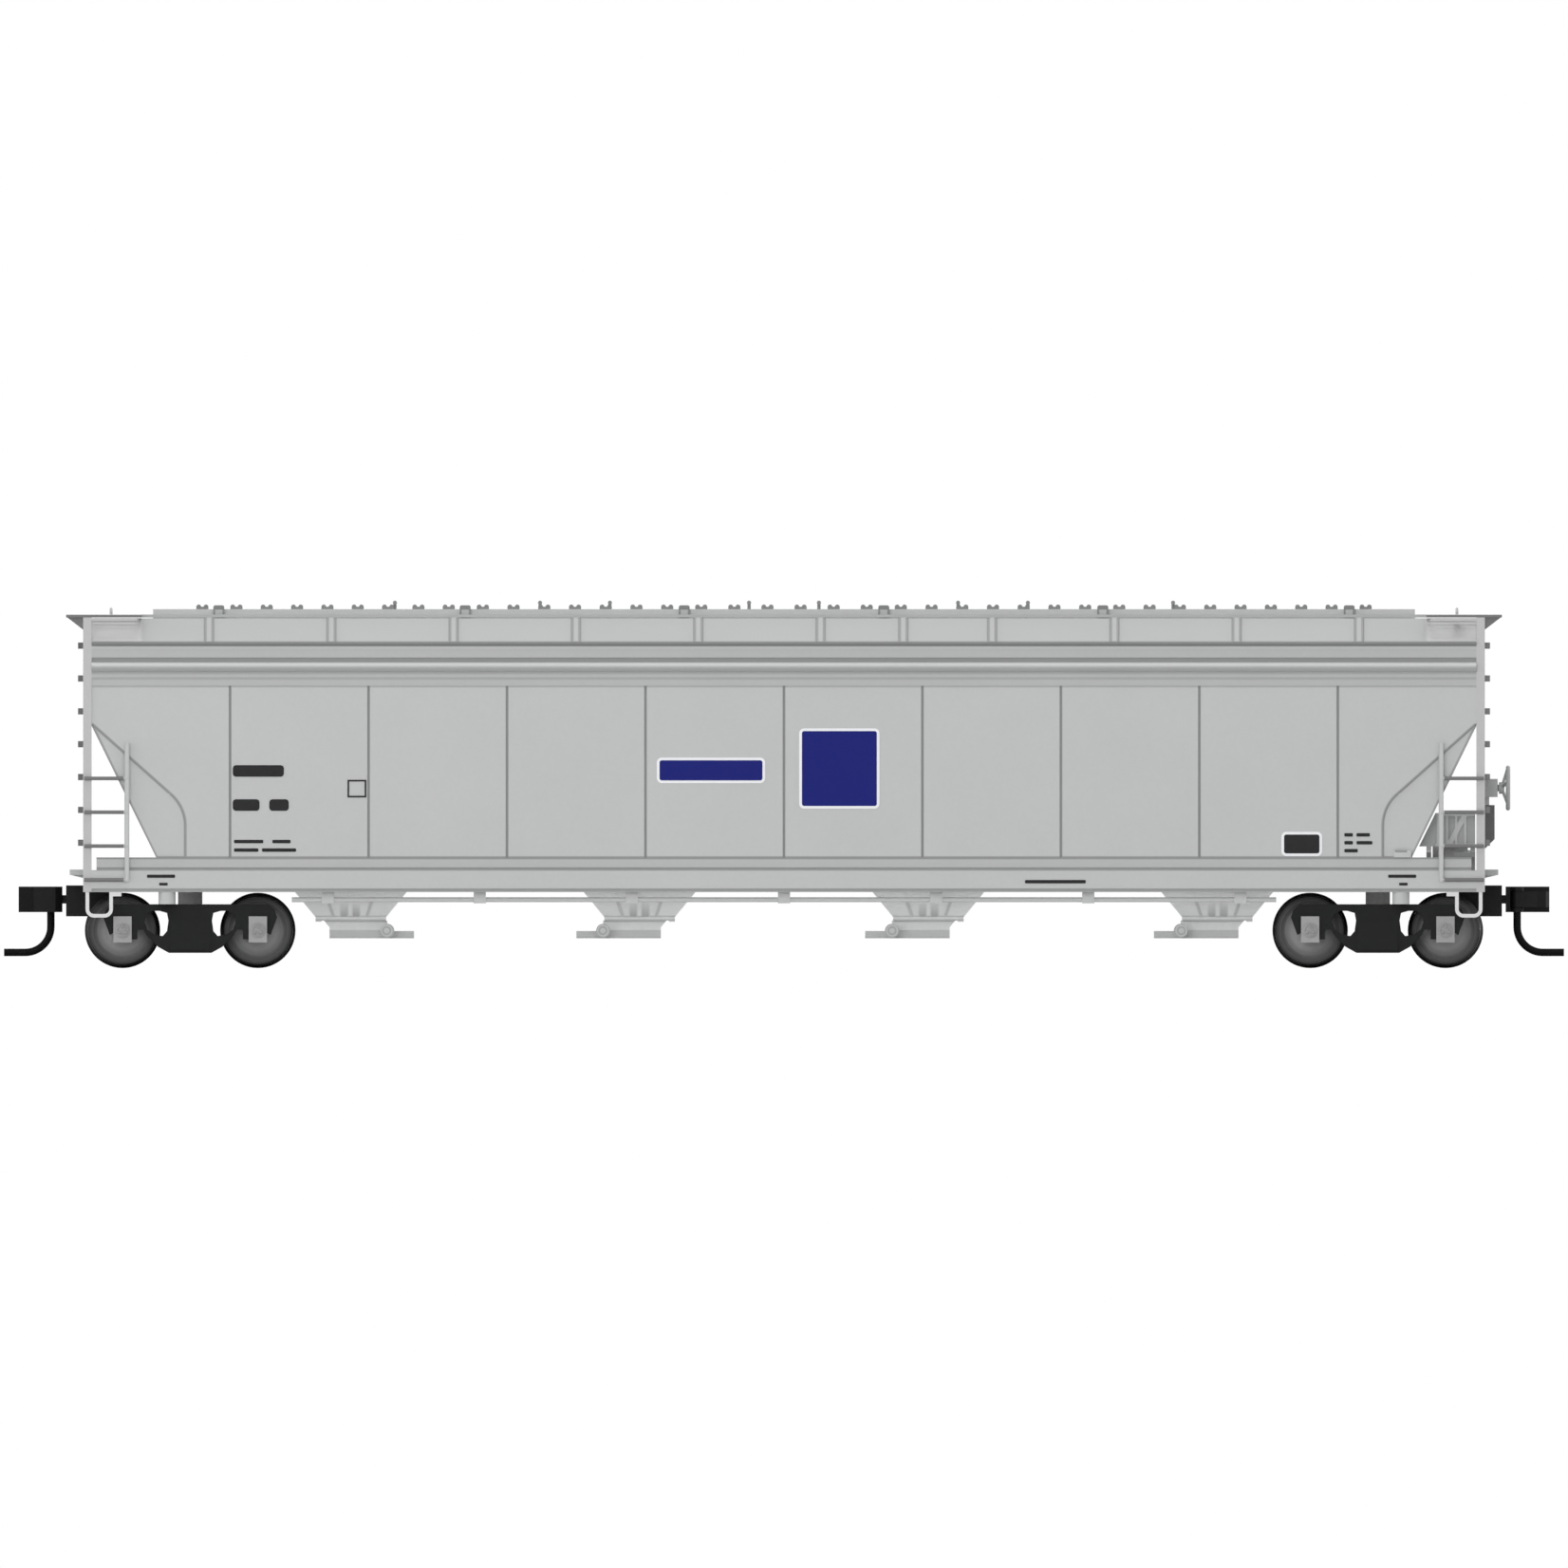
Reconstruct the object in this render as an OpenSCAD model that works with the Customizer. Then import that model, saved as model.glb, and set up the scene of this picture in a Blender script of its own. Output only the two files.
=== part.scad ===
// Four-bay covered hopper car for 9 mm gauge track, at 1:160, in millimetres.
// X runs along the car towards the end with the brake wheel (end b), Y across it, Z up.
// The origin is midway along the car, level with the lowest points of the wheels.

/* [Body] */
// Length over the side sheets
body_l = 113.8; // [110:0.2:118]
// Width over the side plates, behind their outer skin
body_w = 19.46; // [18.6:0.02:20.4]
// Thickness of the moulded walls
wall_t = 0.7; // [0.5:0.05:0.9]
// Thickness of the outer skin on each side
skin_t = 0.12; // [0.08:0.02:0.2]
// Height of the eaves
eave_z = 26.6; // [26.2:0.1:27.2]
// Height where the slope sheets leave the end sheets
slope_top_z = 19.9; // [19:0.1:21]
// How far each slope sheet runs inwards
slope_run = 5.3; // [4.6:0.1:5.6]
// Number of side panels
panel_n = 10; // [8:1:12]
// Width of the grooves between the panels
seam_w = 0.22; // [0.16:0.02:0.3]
// Distance from the body's end to the upright edge of the skin
recess_in = 7.7; // [7:0.1:8.4]
// Radius of the skin's rounded edge
recess_r = 3.46; // [2.8:0.02:3.8]
// Turn of the rounded edge before it runs straight
recess_turn = 50; // [40:1:60]
// Height where the skin's upright edge starts to round
recess_z = 11.7; // [11:0.1:12.2]

/* [Side sills and top chords] */
// Height of the bottom of the side sills
sill_z = 6.25; // [6.2:0.01:6.4]
// Height of the sill's drawn-in lower lip
sill_lip_h = 0.25; // [0.15:0.05:0.35]
// Height of the sill's web
sill_web_h = 1.55; // [1.3:0.05:1.7]
// Height of the groove above the web
sill_groove_h = 0.2; // [0.1:0.05:0.3]
// Height of the flange above the groove
sill_flange_h = 0.85; // [0.65:0.05:1.1]
// How far the web stands out from the skin
sill_proud = 0.1; // [0.06:0.02:0.2]
// Height of a top chord
chord_h = 3.4; // [3.3:0.05:3.8]
// Radius of the bead along the top chord
bead_r = 0.47; // [0.35:0.01:0.5]
// Height of the chord's upper flange
flange_h = 1.1; // [0.9:0.05:1.3]
// Height of the groove under the upper flange
chord_groove_h = 0.3; // [0.2:0.05:0.4]
// Height of the chord's thin foot
chord_foot_h = 0.6; // [0.4:0.05:0.7]
// Width of a jacking pad
pad_d = 1.4; // [1:0.1:1.8]
// Height of a jacking pad
pad_h = 1; // [0.8:0.05:1.1]
// Distance of a jacking pad outwards from the truck centre
pad_out = 1.9; // [1.4:0.1:2.4]

/* [Roof] */
// How far the eaves reach past the side plates
eave_over = 0.42; // [0.32:0.02:0.7]
// Thickness of the roof's upright edge
eave_h = 0.15; // [0.1:0.05:0.3]
// Rise of the roof from its edges to the flat crown
roof_rise = 2; // [1.8:0.05:2.2]
// Width of a roof rib
rib_w = 0.7; // [0.5:0.05:0.9]
// Height of a roof rib
rib_h = 0.12; // [0.06:0.02:0.14]
// Spacing of the regular roof ribs
rib_pitch = 10.05; // [9:0.05:10.4]
// Distance of the innermost regular rib from the middle
rib_first = 17.1; // [14:0.1:20]
// Gap between the hatch trough and an end walk
trough_gap = 0.95; // [0.4:0.05:3]
// Width of the hatch trough
trough_w = 3.8; // [3.2:0.1:4.2]
// Height of the trough above the crown
trough_h = 0.45; // [0.35:0.05:0.6]
// Plain stretch at each end of the trough
cover_in = 5.45; // [4:0.05:7]
// Length of the middle hatch cover
cover_mid_l = 16.4; // [14:0.1:18]
// Length of the hatch covers beside the middle one
cover_next_l = 17.95; // [16:0.05:19]
// Gap between neighbouring hatch covers
cover_gap = 0.26; // [0.16:0.02:0.4]
// Thickness of a hatch cover
cover_t = 0.3; // [0.2:0.05:0.4]
// Spacing that the latches on a cover keep to as near as its length allows
latch_pitch = 2.5; // [2.2:0.05:2.8]
// Distance of the first and last latch from a cover's ends
latch_edge = 1.4; // [1:0.1:2]
// Height of a latch
latch_h = 0.38; // [0.3:0.02:0.5]
// Height of a lock handle
handle_h = 0.7; // [0.5:0.05:0.8]
// Distance of the lock handles from the middle of an inner cover
handle_x = 2.87; // [2:0.01:4]
// Distance of the lock handle from the middle of an end cover
end_handle_x = 4.3; // [2:0.1:6]

/* [Running boards] */
// Gap between the roof's crown and the boards
board_gap = 0.06; // [0.05:0.01:0.2]
// Thickness of the boards
board_t = 0.25; // [0.15:0.05:0.35]
// Width of a running board
board_w = 2.1; // [1.6:0.1:2.4]
// Distance from the middle of the roof to a running board
board_in = 2.5; // [2.3:0.1:3]
// Spacing of the slots in the boards
slot_pitch = 0.85; // [0.75:0.05:1.2]
// Width of a slot
slot_w = 0.6; // [0.3:0.05:0.65]
// Plain edge beside the slots
slot_edge = 0.25; // [0.2:0.05:0.4]
// Reach of an end walk past the corner posts
walk_reach = 1.4; // [1:0.1:1.8]
// Width of an end walk along the car
walk_w = 6.2; // [5.4:0.1:6.6]
// Distance from the corner posts in to the grab iron on an end walk
grab_in = 2.3; // [1.5:0.1:4]
// Height of the brackets under an end walk
bracket_h = 1; // [0.7:0.1:1.3]

/* [Ends] */
// Width of a corner post along the car
post_w = 0.7; // [0.5:0.05:0.9]
// Depth of a corner post across the car
post_d = 0.75; // [0.6:0.05:0.9]
// Height of an end sill
end_sill_h = 1.3; // [1.1:0.05:1.5]
// Reach of a crossover platform past the end sill
platform_reach = 1.1; // [0.9:0.1:1.5]
// Width of a crossover platform across the car
platform_w = 13; // [11:0.5:15]
// Thickness of a crossover platform
platform_t = 0.45; // [0.3:0.05:0.55]
// Radius of a ladder rung
rung_r = 0.15; // [0.1:0.01:0.18]
// Depth of the ladder stiles outwards from what carries them
stile_t = 0.25; // [0.2:0.01:0.3]
// Width of a ladder stile
stile_w = 0.4; // [0.3:0.05:0.5]
// Distance of a side ladder's stile from the body's end
side_stile_in = 2.7; // [2.4:0.1:3.2]
// Distance from the top of a slope sheet down to the top of a side ladder
side_stile_down = 1.4; // [0.6:0.1:1.6]
// Height of a side ladder's lowest rung
side_rung_z = 7.25; // [7.1:0.05:7.4]
// Spacing of the side rungs
side_rung_pitch = 2.78; // [2.5:0.02:2.9]
// Number of rungs in a side ladder
side_rung_n = 4; // [3:1:4]
// Height of an end ladder's lowest rung
end_rung_z = 10.3; // [10:0.1:10.6]
// Distance of an end ladder's top rung below the eaves
end_rung_down = 0.1; // [0:0.05:1]
// Number of rungs in an end ladder
end_rung_n = 7; // [5:1:7]
// Width of an end ladder between its post and its stile
end_ladder_w = 2.8; // [2.4:0.1:3.2]
// Length of a sill step
step_l = 2.25; // [2:0.05:2.5]
// Drop of a sill step below the sill
step_drop = 2.1; // [1.8:0.05:2.4]
// Thickness of a sill step's strap
step_t = 0.3; // [0.2:0.05:0.4]
// Length of the foot beside a sill step's inner leg
step_foot_l = 0.7; // [0.4:0.05:0.9]
// Depth of a sill step across the car
step_d = 0.55; // [0.4:0.05:0.65]

/* [Underframe] */
// Height of the underside of the deck
deck_z = 6.8; // [6.75:0.05:7]
// Thickness of the deck
deck_t = 1; // [0.9:0.05:1.1]
// Distance from the body's end to a truck's centre
truck_in = 8.1; // [7.6:0.1:9]
// Diameter of the centre plates that bear on the trucks
plate_d = 2; // [1.9:0.1:3]
// Width of the body bolsters
body_bolster_w = 1.6; // [1.2:0.1:2]
// Depth of the body bolsters and the centre sill
bolster_drop = 0.45; // [0.35:0.05:0.5]
// Width of the centre sill stubs
center_sill_w = 2; // [1.6:0.1:2.4]
// Length of the ballast weight
weight_l = 80; // [60:1:90]
// Width of the ballast weight
weight_w = 13; // [10:0.5:16]
// Thickness of the ballast weight
weight_t = 2.4; // [1.6:0.1:3]
// Diameter of the brake pipe
pipe_d = 0.4; // [0.3:0.02:0.5]
// Distance of the brake pipe below the deck
pipe_down = 1.18; // [1:0.02:1.3]
// Distance of the brake pipe inwards from the side sill
pipe_in = 0.5; // [0.35:0.05:0.55]
// Distance of the hangers at the outer gaps between bays, outwards from midway
hanger_out = 1.27; // [0:0.01:2]

/* [Hopper bays] */
// Distance from a truck centre to the nearest bay
bay_in = 13.2; // [13:0.1:14]
// Length of a bay at the deck
bay_top_l = 10.1; // [9.5:0.1:10.6]
// Length of a bay at its flange
bay_bottom_l = 5.8; // [5.2:0.1:6]
// Width of a bay at the deck
bay_top_w = 16; // [15:0.1:16.2]
// Width of a bay at its flange
bay_bottom_w = 10; // [9:0.1:10.6]
// Depth of a bay below the deck
bay_h = 2.6; // [2.4:0.05:2.8]
// Height of the ribs on the bays' side faces
bay_rib_h = 0.22; // [0.14:0.02:0.25]
// Thickness of an outlet's flange
gate_flange_t = 0.3; // [0.2:0.05:0.4]
// Height of an outlet's frame
gate_frame_h = 0.85; // [0.7:0.05:0.9]
// Thickness of an outlet's slide rails
gate_rail_t = 0.6; // [0.45:0.05:0.65]
// Reach of the slide rails from the bay's middle
gate_rail_l = 5.2; // [4.8:0.1:5.6]
// Reach of the outlet frame's short side from the bay's middle
gate_back_l = 1.75; // [1.4:0.05:2.2]
// Width of an outlet across the car
gate_w = 9; // [8:0.1:9.6]
// Diameter of an outlet's pinion shaft
pinion_d = 0.55; // [0.45:0.05:0.65]
// Diameter of the square-driven ends of the pinion shaft
capstan_d = 1.15; // [0.8:0.05:1.2]
// Length of the pinion shaft
pinion_l = 12.4; // [11.6:0.2:13]

/* [Brake gear] */
// Diameter of the air reservoir
reservoir_d = 2.4; // [2:0.1:2.6]
// Length of the air reservoir
reservoir_l = 8.6; // [7:0.2:9]
// Gap between the air reservoir and the control valve
valve_gap = 0.9; // [0.5:0.1:1.1]
// Height of the air reservoir's axis above the deck
reservoir_up = 3.4; // [3.2:0.1:3.6]
// Distance of the air reservoir's axis from the body's end
reservoir_in = 2; // [1.8:0.1:2.2]
// Height of the top of the equipment bracket above the deck
equip_h = 4.95; // [4.5:0.05:5.2]
// Height of the equipment bracket's legs
equip_leg_h = 2.2; // [1.9:0.05:2.4]
// Thickness of the equipment bracket
equip_t = 0.3; // [0.2:0.05:0.4]
// Diameter of the brake cylinder
brake_cyl_d = 1.9; // [1.6:0.1:2.1]
// Length of the brake cylinder
brake_cyl_l = 2.6; // [2.2:0.1:2.8]
// Distance of the brake stand from the middle of the car
stand_y = 3.4; // [3.2:0.1:4]
// Height of the brake wheel's axis
brake_z = 14.8; // [14.2:0.1:15.4]
// Width of the brake stand's post
stand_w = 0.8; // [0.6:0.05:1]
// Height of the housing
housing_h = 1.5; // [1.3:0.1:2]
// Width of the housing
housing_w = 1.8; // [1.6:0.1:2.2]
// Depth of the housing
housing_t = 1.05; // [0.95:0.05:1.2]
// Diameter of the brake wheel
brake_wheel_d = 3.7; // [3.4:0.05:4]
// Diameter of the brake wheel's rim section
brake_rim_d = 0.36; // [0.28:0.02:0.4]
// Dish of the brake wheel from hub to rim
brake_dish = 0.75; // [0.5:0.05:0.85]
// Number of spokes in the brake wheel
spoke_n = 5; // [4:1:6]
// Diameter of the brake wheel's spindle
spindle_d = 0.56; // [0.46:0.02:0.6]

/* [Couplers] */
// Distance of the middle of the couplers below the deck
coupler_down = 1.15; // [1.1:0.01:1.25]
// Reach of a draft box past the corner posts
box_reach = 1.4; // [1.2:0.1:1.7]
// Room beside the coupler's eye in a draft box
eye_room = 0.4; // [0.38:0.02:0.44]
// Height of a draft box with its lid
box_h = 2.55; // [2.5:0.05:2.7]
// Thickness of a draft box's walls
box_wall = 0.4; // [0.35:0.01:0.45]
// Distance from a box's mouth back to its swing post
swing_back = 3; // [2.9:0.05:3.1]
// Diameter of the swing post
swing_d = 1; // [0.9:0.02:1.04]
// Outer diameter of the coupler's eye
eye_d = 1.9; // [1.7:0.05:2]
// Width of the coupler's shank
shank_w = 0.84; // [0.7:0.02:0.9]
// Thickness of the neck between box and head
neck_t = 0.7; // [0.6:0.05:0.8]
// Gap between a box's mouth and the coupler's head
neck_l = 0.3; // [0.28:0.02:0.4]
// Length of a coupler's head
head_l = 3.6; // [3.4:0.05:3.8]
// Width of a coupler's head
head_w = 2.7; // [2.5:0.05:2.8]
// Height of a coupler's head
head_h = 2.1; // [2:0.05:2.1]
// Thickness of the ears that hold the knuckle
ear_t = 0.35; // [0.3:0.05:0.4]
// Distance of the knuckle's pin from the back of the head
pin_x = 0.95; // [0.9:0.05:1.05]
// Distance of the knuckle's pin from the middle of the head
pin_y = 0.55; // [0.5:0.05:0.6]
// Diameter of the trip pin
trip_d = 0.62; // [0.5:0.02:0.64]
// Height of the middle of the trip pin's foot
trip_z = 1.29; // [1.1:0.05:1.5]
// Radius of the trip pin's bend
trip_bend = 2.1; // [1.8:0.05:2.3]
// Reach of the trip pin's foot past the head
trip_reach = 1.2; // [0.9:0.1:1.5]
// Thickness of the centring springs' strip
spring_t = 0.12; // [0.08:0.01:0.14]
// Diameter of a coupler screw
coupler_screw_d = 0.6; // [0.5:0.02:0.64]
// Diameter of a coupler screw's head
coupler_screw_head_d = 1.2; // [1:0.05:1.4]
// Height of a coupler screw's head
coupler_screw_head_h = 0.35; // [0.25:0.05:0.4]

/* [Trucks] */
// Distance between the axles of a truck
wheelbase = 11.12; // [10.8:0.02:11.3]
// Diameter of the wheels over their flanges
flange_d = 6.2; // [6:0.02:6.26]
// Depth of the wheel flanges
flange_depth = 0.2; // [0.15:0.01:0.3]
// Distance between the backs of a pair of wheels
wheel_back = 7.6; // [7.5:0.02:7.8]
// Width of a wheel
wheel_t = 1.9; // [1.7:0.05:2.1]
// Diameter of a wheel's hub
hub_d = 2; // [1.6:0.1:2.2]
// Diameter of an axle
axle_d = 1; // [0.8:0.02:1.2]
// Diameter of an axle's journals
journal_d = 0.6; // [0.5:0.02:0.7]
// Length of a journal
journal_l = 0.8; // [0.6:0.05:0.9]
// Gap between the wheels and the side frames
frame_clear = 0.65; // [0.5:0.05:0.75]
// Thickness of a side frame
frame_t = 1.4; // [1.2:0.05:1.5]
// Height of a side frame's top above the axles
frame_rise = 2.15; // [2.05:0.01:2.2]
// Depth of a side frame's bottom below the axles
frame_drop = 1.85; // [1.7:0.05:2]
// Height of the bar along the top of a side frame
frame_bar_h = 0.55; // [0.45:0.05:0.7]
// Width of the block in the middle of a side frame
column_w = 3.5; // [3.1:0.1:3.7]
// Width of a bearing adapter
bearing_w = 1.5; // [1.35:0.05:1.6]
// Height of a bearing adapter's top above the axles
bearing_rise = 1.15; // [1:0.05:1.2]
// Depth of a bearing adapter's bottom below the axles
bearing_drop = 1; // [0.8:0.05:1.1]
// How far the bearing adapters stand out of the side frames
bearing_proud = 0.3; // [0.2:0.05:0.4]
// Width of the truck bolster along the car
bolster_w = 3; // [2.6:0.1:3.2]
// Height of the truck bolster's underside above the axles
bolster_up = 0.2; // [0.15:0.05:0.4]
// Height of the truck bolster's top above the axles
bolster_top = 2.03; // [1.95:0.02:2.05]
// Diameter of a truck screw
kingpin_d = 1.3; // [1:0.05:1.5]
// Diameter of a truck screw's head
kingpin_head_d = 2.4; // [2:0.1:2.6]
// Height of a truck screw's head
kingpin_head_h = 0.5; // [0.4:0.05:0.6]

/* [Clearances] */
// Radial clearance where a pin or a shaft turns
run_fit = 0.05; // [0.03:0.01:0.08]
// Gap between faces that turn or slide past each other
face_gap = 0.1; // [0.06:0.01:0.12]

/* [Hidden] */
$fn = 48;

ENDS = ["a", "b"];

BODY_GREY = [0.745, 0.745, 0.745];
DETAIL_GREY = [0.66, 0.66, 0.66];
PALE_GREY = [0.83, 0.83, 0.83];
TRUCK_BLACK = [0.14, 0.15, 0.145];
COUPLER_BLACK = [0.09, 0.09, 0.09];
WHEEL_GREY = [0.28, 0.28, 0.29];
STEEL = [0.55, 0.55, 0.56];
BRONZE = [0.66, 0.5, 0.3];

// Over-cut that lets a cutting shape break through a face
CUT = 1;
// Share of a pitch by which a row may fall short and still take its last slot
SLACK = 0.01;

// Side sill and top chord
half_l = body_l / 2;
plate_y = body_w / 2;
skin_y = plate_y + skin_t;
inner_y = plate_y - wall_t;
sill_y = skin_y + sill_proud;
sill_web_z = sill_z + sill_lip_h;
sill_step_z = sill_web_z + sill_web_h;
sill_flange_z = sill_step_z + sill_groove_h;
sill_top_z = sill_flange_z + sill_flange_h;
sill_flange_in = 0.4;
flange_proud = 0.1;
flange_y = skin_y + flange_proud;
foot_y = skin_y + flange_proud / 2;
chord_z = eave_z - chord_h;
flange_z = eave_z - flange_h;
bead_z = flange_z - chord_groove_h - bead_r;
pad_back = 0.05;
pad_y = sill_y - pad_d / 2 - pad_back;

// Body
end_x = half_l + post_w;
truck_x = half_l - truck_in;
slope_foot_x = half_l - slope_run;
slope_lean = slope_run / (slope_top_z - sill_top_z);
recess_x = half_l - recess_in;
panel_pitch = body_l / panel_n;
skin_over = 0.2;
deck_top_z = deck_z + deck_t;

// Roof
roof_y = plate_y + eave_over;
eave_top_z = eave_z + eave_h;
crown_z = eave_top_z + roof_rise;
crown_over = 0.1;
crown_y = board_in + board_w + crown_over;
walk_x1 = end_x + walk_reach;
walk_x0 = walk_x1 - walk_w;
trough_x = walk_x0 - trough_gap;
trough_y = trough_w / 2;
trough_z = crown_z + trough_h;
cover_top_z = trough_z + cover_t;
covers_x = trough_x - cover_in;
cover_end_l = covers_x - cover_mid_l / 2 - cover_next_l;
lug_r = 0.2;
lug_gap = 0.6;
latch_d = 0.5;
handle_d = 0.34;
rib_inner_x = [-7.05, 3, 9.8];
rib_x = concat([for (s = [-1, 1], k = [0:3]) s * (rib_first + k * rib_pitch)], rib_inner_x);

// Running boards
board_z = crown_z + board_gap;
board_top_z = board_z + board_t;
grab_r = 0.12;
grab_h = 0.45;
grab_bend = 0.3;
grab_strap_w = 0.5;
bracket_t = 0.35;
bracket_in = 0.2;

// Ends
post_in_y = sill_y - post_d;
end_sill_top_z = deck_z + end_sill_h;
side_stile_x = half_l - side_stile_in;
side_stile_z = slope_top_z - side_stile_down;
end_rung_pitch = (eave_z - end_rung_down - end_rung_z) / (end_rung_n - 1);
end_stile_y = post_in_y - end_ladder_w;
step_back = 0.2;
step_x1 = end_x - step_back;
foot_l = 0.5;
tip_back = 0.1;

// Underframe
center_plate_z = flange_d / 2 + bolster_top + face_gap;
outer_bay_x = truck_x - bay_in;
bay_pitch = 2 * outer_bay_x / 3;
bay_flange_z = deck_z - bay_h;
gate_frame_z = bay_flange_z - gate_flange_t;
gate_rail_z = gate_frame_z - gate_frame_h;
pinion_up = 0.05;
pinion_out = 0.1;
pinion_z = gate_rail_z - gate_rail_t + capstan_d / 2 + pinion_up;
pinion_x = bay_bottom_l / 2 + pinion_out;
pipe_back = 0.2;
pipe_l = 2 * (outer_bay_x + bay_top_l / 2 - pipe_back);
pipe_y = -inner_y + pipe_in;
pipe_z = deck_z - pipe_down;
hanger_pitch = (bay_pitch + hanger_out) / 2;

// Brake gear
tank_end_l = 0.3;
tank_in = 1.3;
reservoir_y = -inner_y + tank_in;
valve_w = 1.4;
valve_in = 1.9;
cylinder_in = 2.63;
cylinder_up = 1.6;
cylinder_back = 1;

// Couplers
box_x1 = end_x + box_reach;
swing_x = box_x1 - swing_back;
box_x0 = swing_x - eye_d / 2 - face_gap - spring_t - box_wall;
cavity_y = eye_d / 2 + eye_room;
box_y = cavity_y + box_wall;
coupler_z = deck_z - coupler_down;
box_z = deck_z - box_h;
lid_t = 0.4;
lid_top_z = box_z + lid_t;
tray_roof_t = 0.4;
cavity_z = deck_z - tray_roof_t;
head_x = box_x1 + neck_l;
knuckle_x = head_x + pin_x;
head_z = coupler_z - head_h / 2;
head_top_z = coupler_z + head_h / 2;
knuckle_z = head_z + ear_t + run_fit;
knuckle_h = head_h - 2 * (ear_t + run_fit);
trip_x1 = head_x + head_l + trip_reach;
screw_cover = 0.3;
coupler_screw_z = deck_top_z - screw_cover;

// Trucks
axle_z = flange_d / 2;
wheel_y = wheel_back / 2;
frame_y0 = wheel_y + wheel_t + frame_clear;
frame_y1 = frame_y0 + frame_t;
half_base = wheelbase / 2;
jaw_in = half_base - bearing_w / 2;
jaw_out = half_base + bearing_w / 2;
frame_top_z = axle_z + frame_rise;
frame_bottom_z = axle_z - frame_drop;
bolster_z = axle_z + bolster_up;
bolster_top_z = axle_z + bolster_top;
bolster_lap = 0.2;
bowl_h = 0.3;
axle_y = frame_y0 - face_gap;
kingpin_z = bolster_z - face_gap;
kingpin_top_z = deck_top_z - screw_cover;

// A block between two corners, given as a span along each axis
module block(x, y, z) {
    translate([x[0], y[0], z[0]])
        cube([x[1] - x[0], y[1] - y[0], z[1] - z[0]]);
}

// A drawing in X and Z, made solid between two places across the car
module upright(y0, y1) {
    translate([0, y1, 0])
        rotate([90, 0, 0])
            linear_extrude(y1 - y0)
                children();
}

// A drawing in Y and Z, made solid between two places along the car
module lengthwise(x0, x1) {
    translate([x0, 0, 0])
        rotate([90, 0, 90])
            linear_extrude(x1 - x0)
                children();
}

// A rod along X, Y or Z from a starting point
module rod_x(start, l, d) {
    translate(start)
        rotate([0, 90, 0])
            cylinder(h = l, d = d);
}

module rod_y(start, l, d) {
    translate(start)
        rotate([-90, 0, 0])
            cylinder(h = l, d = d);
}

module rod_z(start, l, d) {
    translate(start)
        cylinder(h = l, d = d);
}

// The same on both sides of the car
module both_sides() {
    for (s = [0, 1])
        mirror([0, s, 0])
            children();
}

// The same at one end or both, turned about the car's middle so that hands match
module at_end(e) {
    rotate([0, 0, e == "a" ? 180 : 0])
        children();
}

module both_ends() {
    for (e = ENDS)
        at_end(e)
            children();
}

// Outline of the body with its two slope sheets, drawn in by the wall for the hollow
function body_half(inset, over) = [
    [slope_foot_x - inset, deck_top_z - over],
    [slope_foot_x - inset, sill_top_z],
    [half_l - inset, slope_top_z],
    [half_l - inset, eave_z + over]
];

function both_halves(half) = concat(half, [for (i = [len(half) - 1:-1:0]) [-half[i][0], half[i][1]]]);

// Right-hand edge of the outer skin: upright, rounded, then straight up to the end sheet
function skin_half() = concat(
    [[recess_x, sill_top_z]],
    [for (k = [0:5])
        [
            recess_x + recess_r * (1 - cos(recess_turn * k / 5)),
            recess_z + recess_r * sin(recess_turn * k / 5)
        ]],
    [[half_l, slope_top_z + skin_over], [half_l, chord_z]]
);

module side_skin() {
    upright(plate_y, skin_y)
        difference() {
            polygon(both_halves(skin_half()));
            for (i = [1:panel_n - 1])
                translate([i * panel_pitch - half_l - seam_w / 2, sill_top_z - CUT])
                    square([seam_w, chord_z - sill_top_z + 2 * CUT]);
        }
}

module top_chord() {
    lengthwise(-half_l, half_l)
        polygon([
            [inner_y, chord_z], [foot_y, chord_z],
            [foot_y, chord_z + chord_foot_h], [flange_y, chord_z + chord_foot_h],
            [flange_y, bead_z], [skin_y, bead_z],
            [skin_y, flange_z], [flange_y, flange_z],
            [flange_y, eave_z], [inner_y, eave_z]
        ]);
    rod_x([-half_l, plate_y, bead_z], body_l, 2 * bead_r);
}

module side_sill() {
    lengthwise(-half_l, half_l)
        polygon([
            [inner_y, sill_z], [skin_y, sill_z],
            [skin_y, sill_web_z], [sill_y, sill_web_z],
            [sill_y, sill_step_z], [inner_y, sill_step_z]
        ]);
    lengthwise(-half_l + sill_flange_in, half_l - sill_flange_in)
        polygon([
            [inner_y, sill_step_z], [plate_y, sill_step_z],
            [plate_y, sill_flange_z], [skin_y, sill_flange_z],
            [skin_y, sill_top_z], [inner_y, sill_top_z]
        ]);
}

module jacking_pads() {
    for (x = [-1, 1] * (truck_x + pad_out))
        rod_z([x, pad_y, sill_z - pad_h], pad_h, pad_d);
}

module body_shell() {
    color(BODY_GREY)
        difference() {
            union() {
                upright(-plate_y, plate_y)
                    polygon(both_halves(body_half(0, 0)));
                both_sides() {
                    side_skin();
                    top_chord();
                    side_sill();
                    jacking_pads();
                }
            }
            upright(-inner_y, inner_y)
                polygon(both_halves(body_half(wall_t, CUT)));
        }
}

// A length of the roof, raised by a rib's height on its slopes or lowered for the hollow
module roof_length(x0, x1, half_w, lift, base_z) {
    lengthwise(x0, x1)
        intersection() {
            translate([-half_w, base_z])
                square([2 * half_w, crown_z - base_z]);
            polygon(both_halves([
                [roof_y, chord_z], [roof_y, eave_top_z + lift], [crown_y, crown_z + lift]
            ]));
        }
}

module roof_saddles() {
    both_sides()
        for (x = rib_x)
            block([x - rib_w / 2, x + rib_w / 2], [board_in, board_in + board_w], [eave_z + CUT, board_z]);
}

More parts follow.
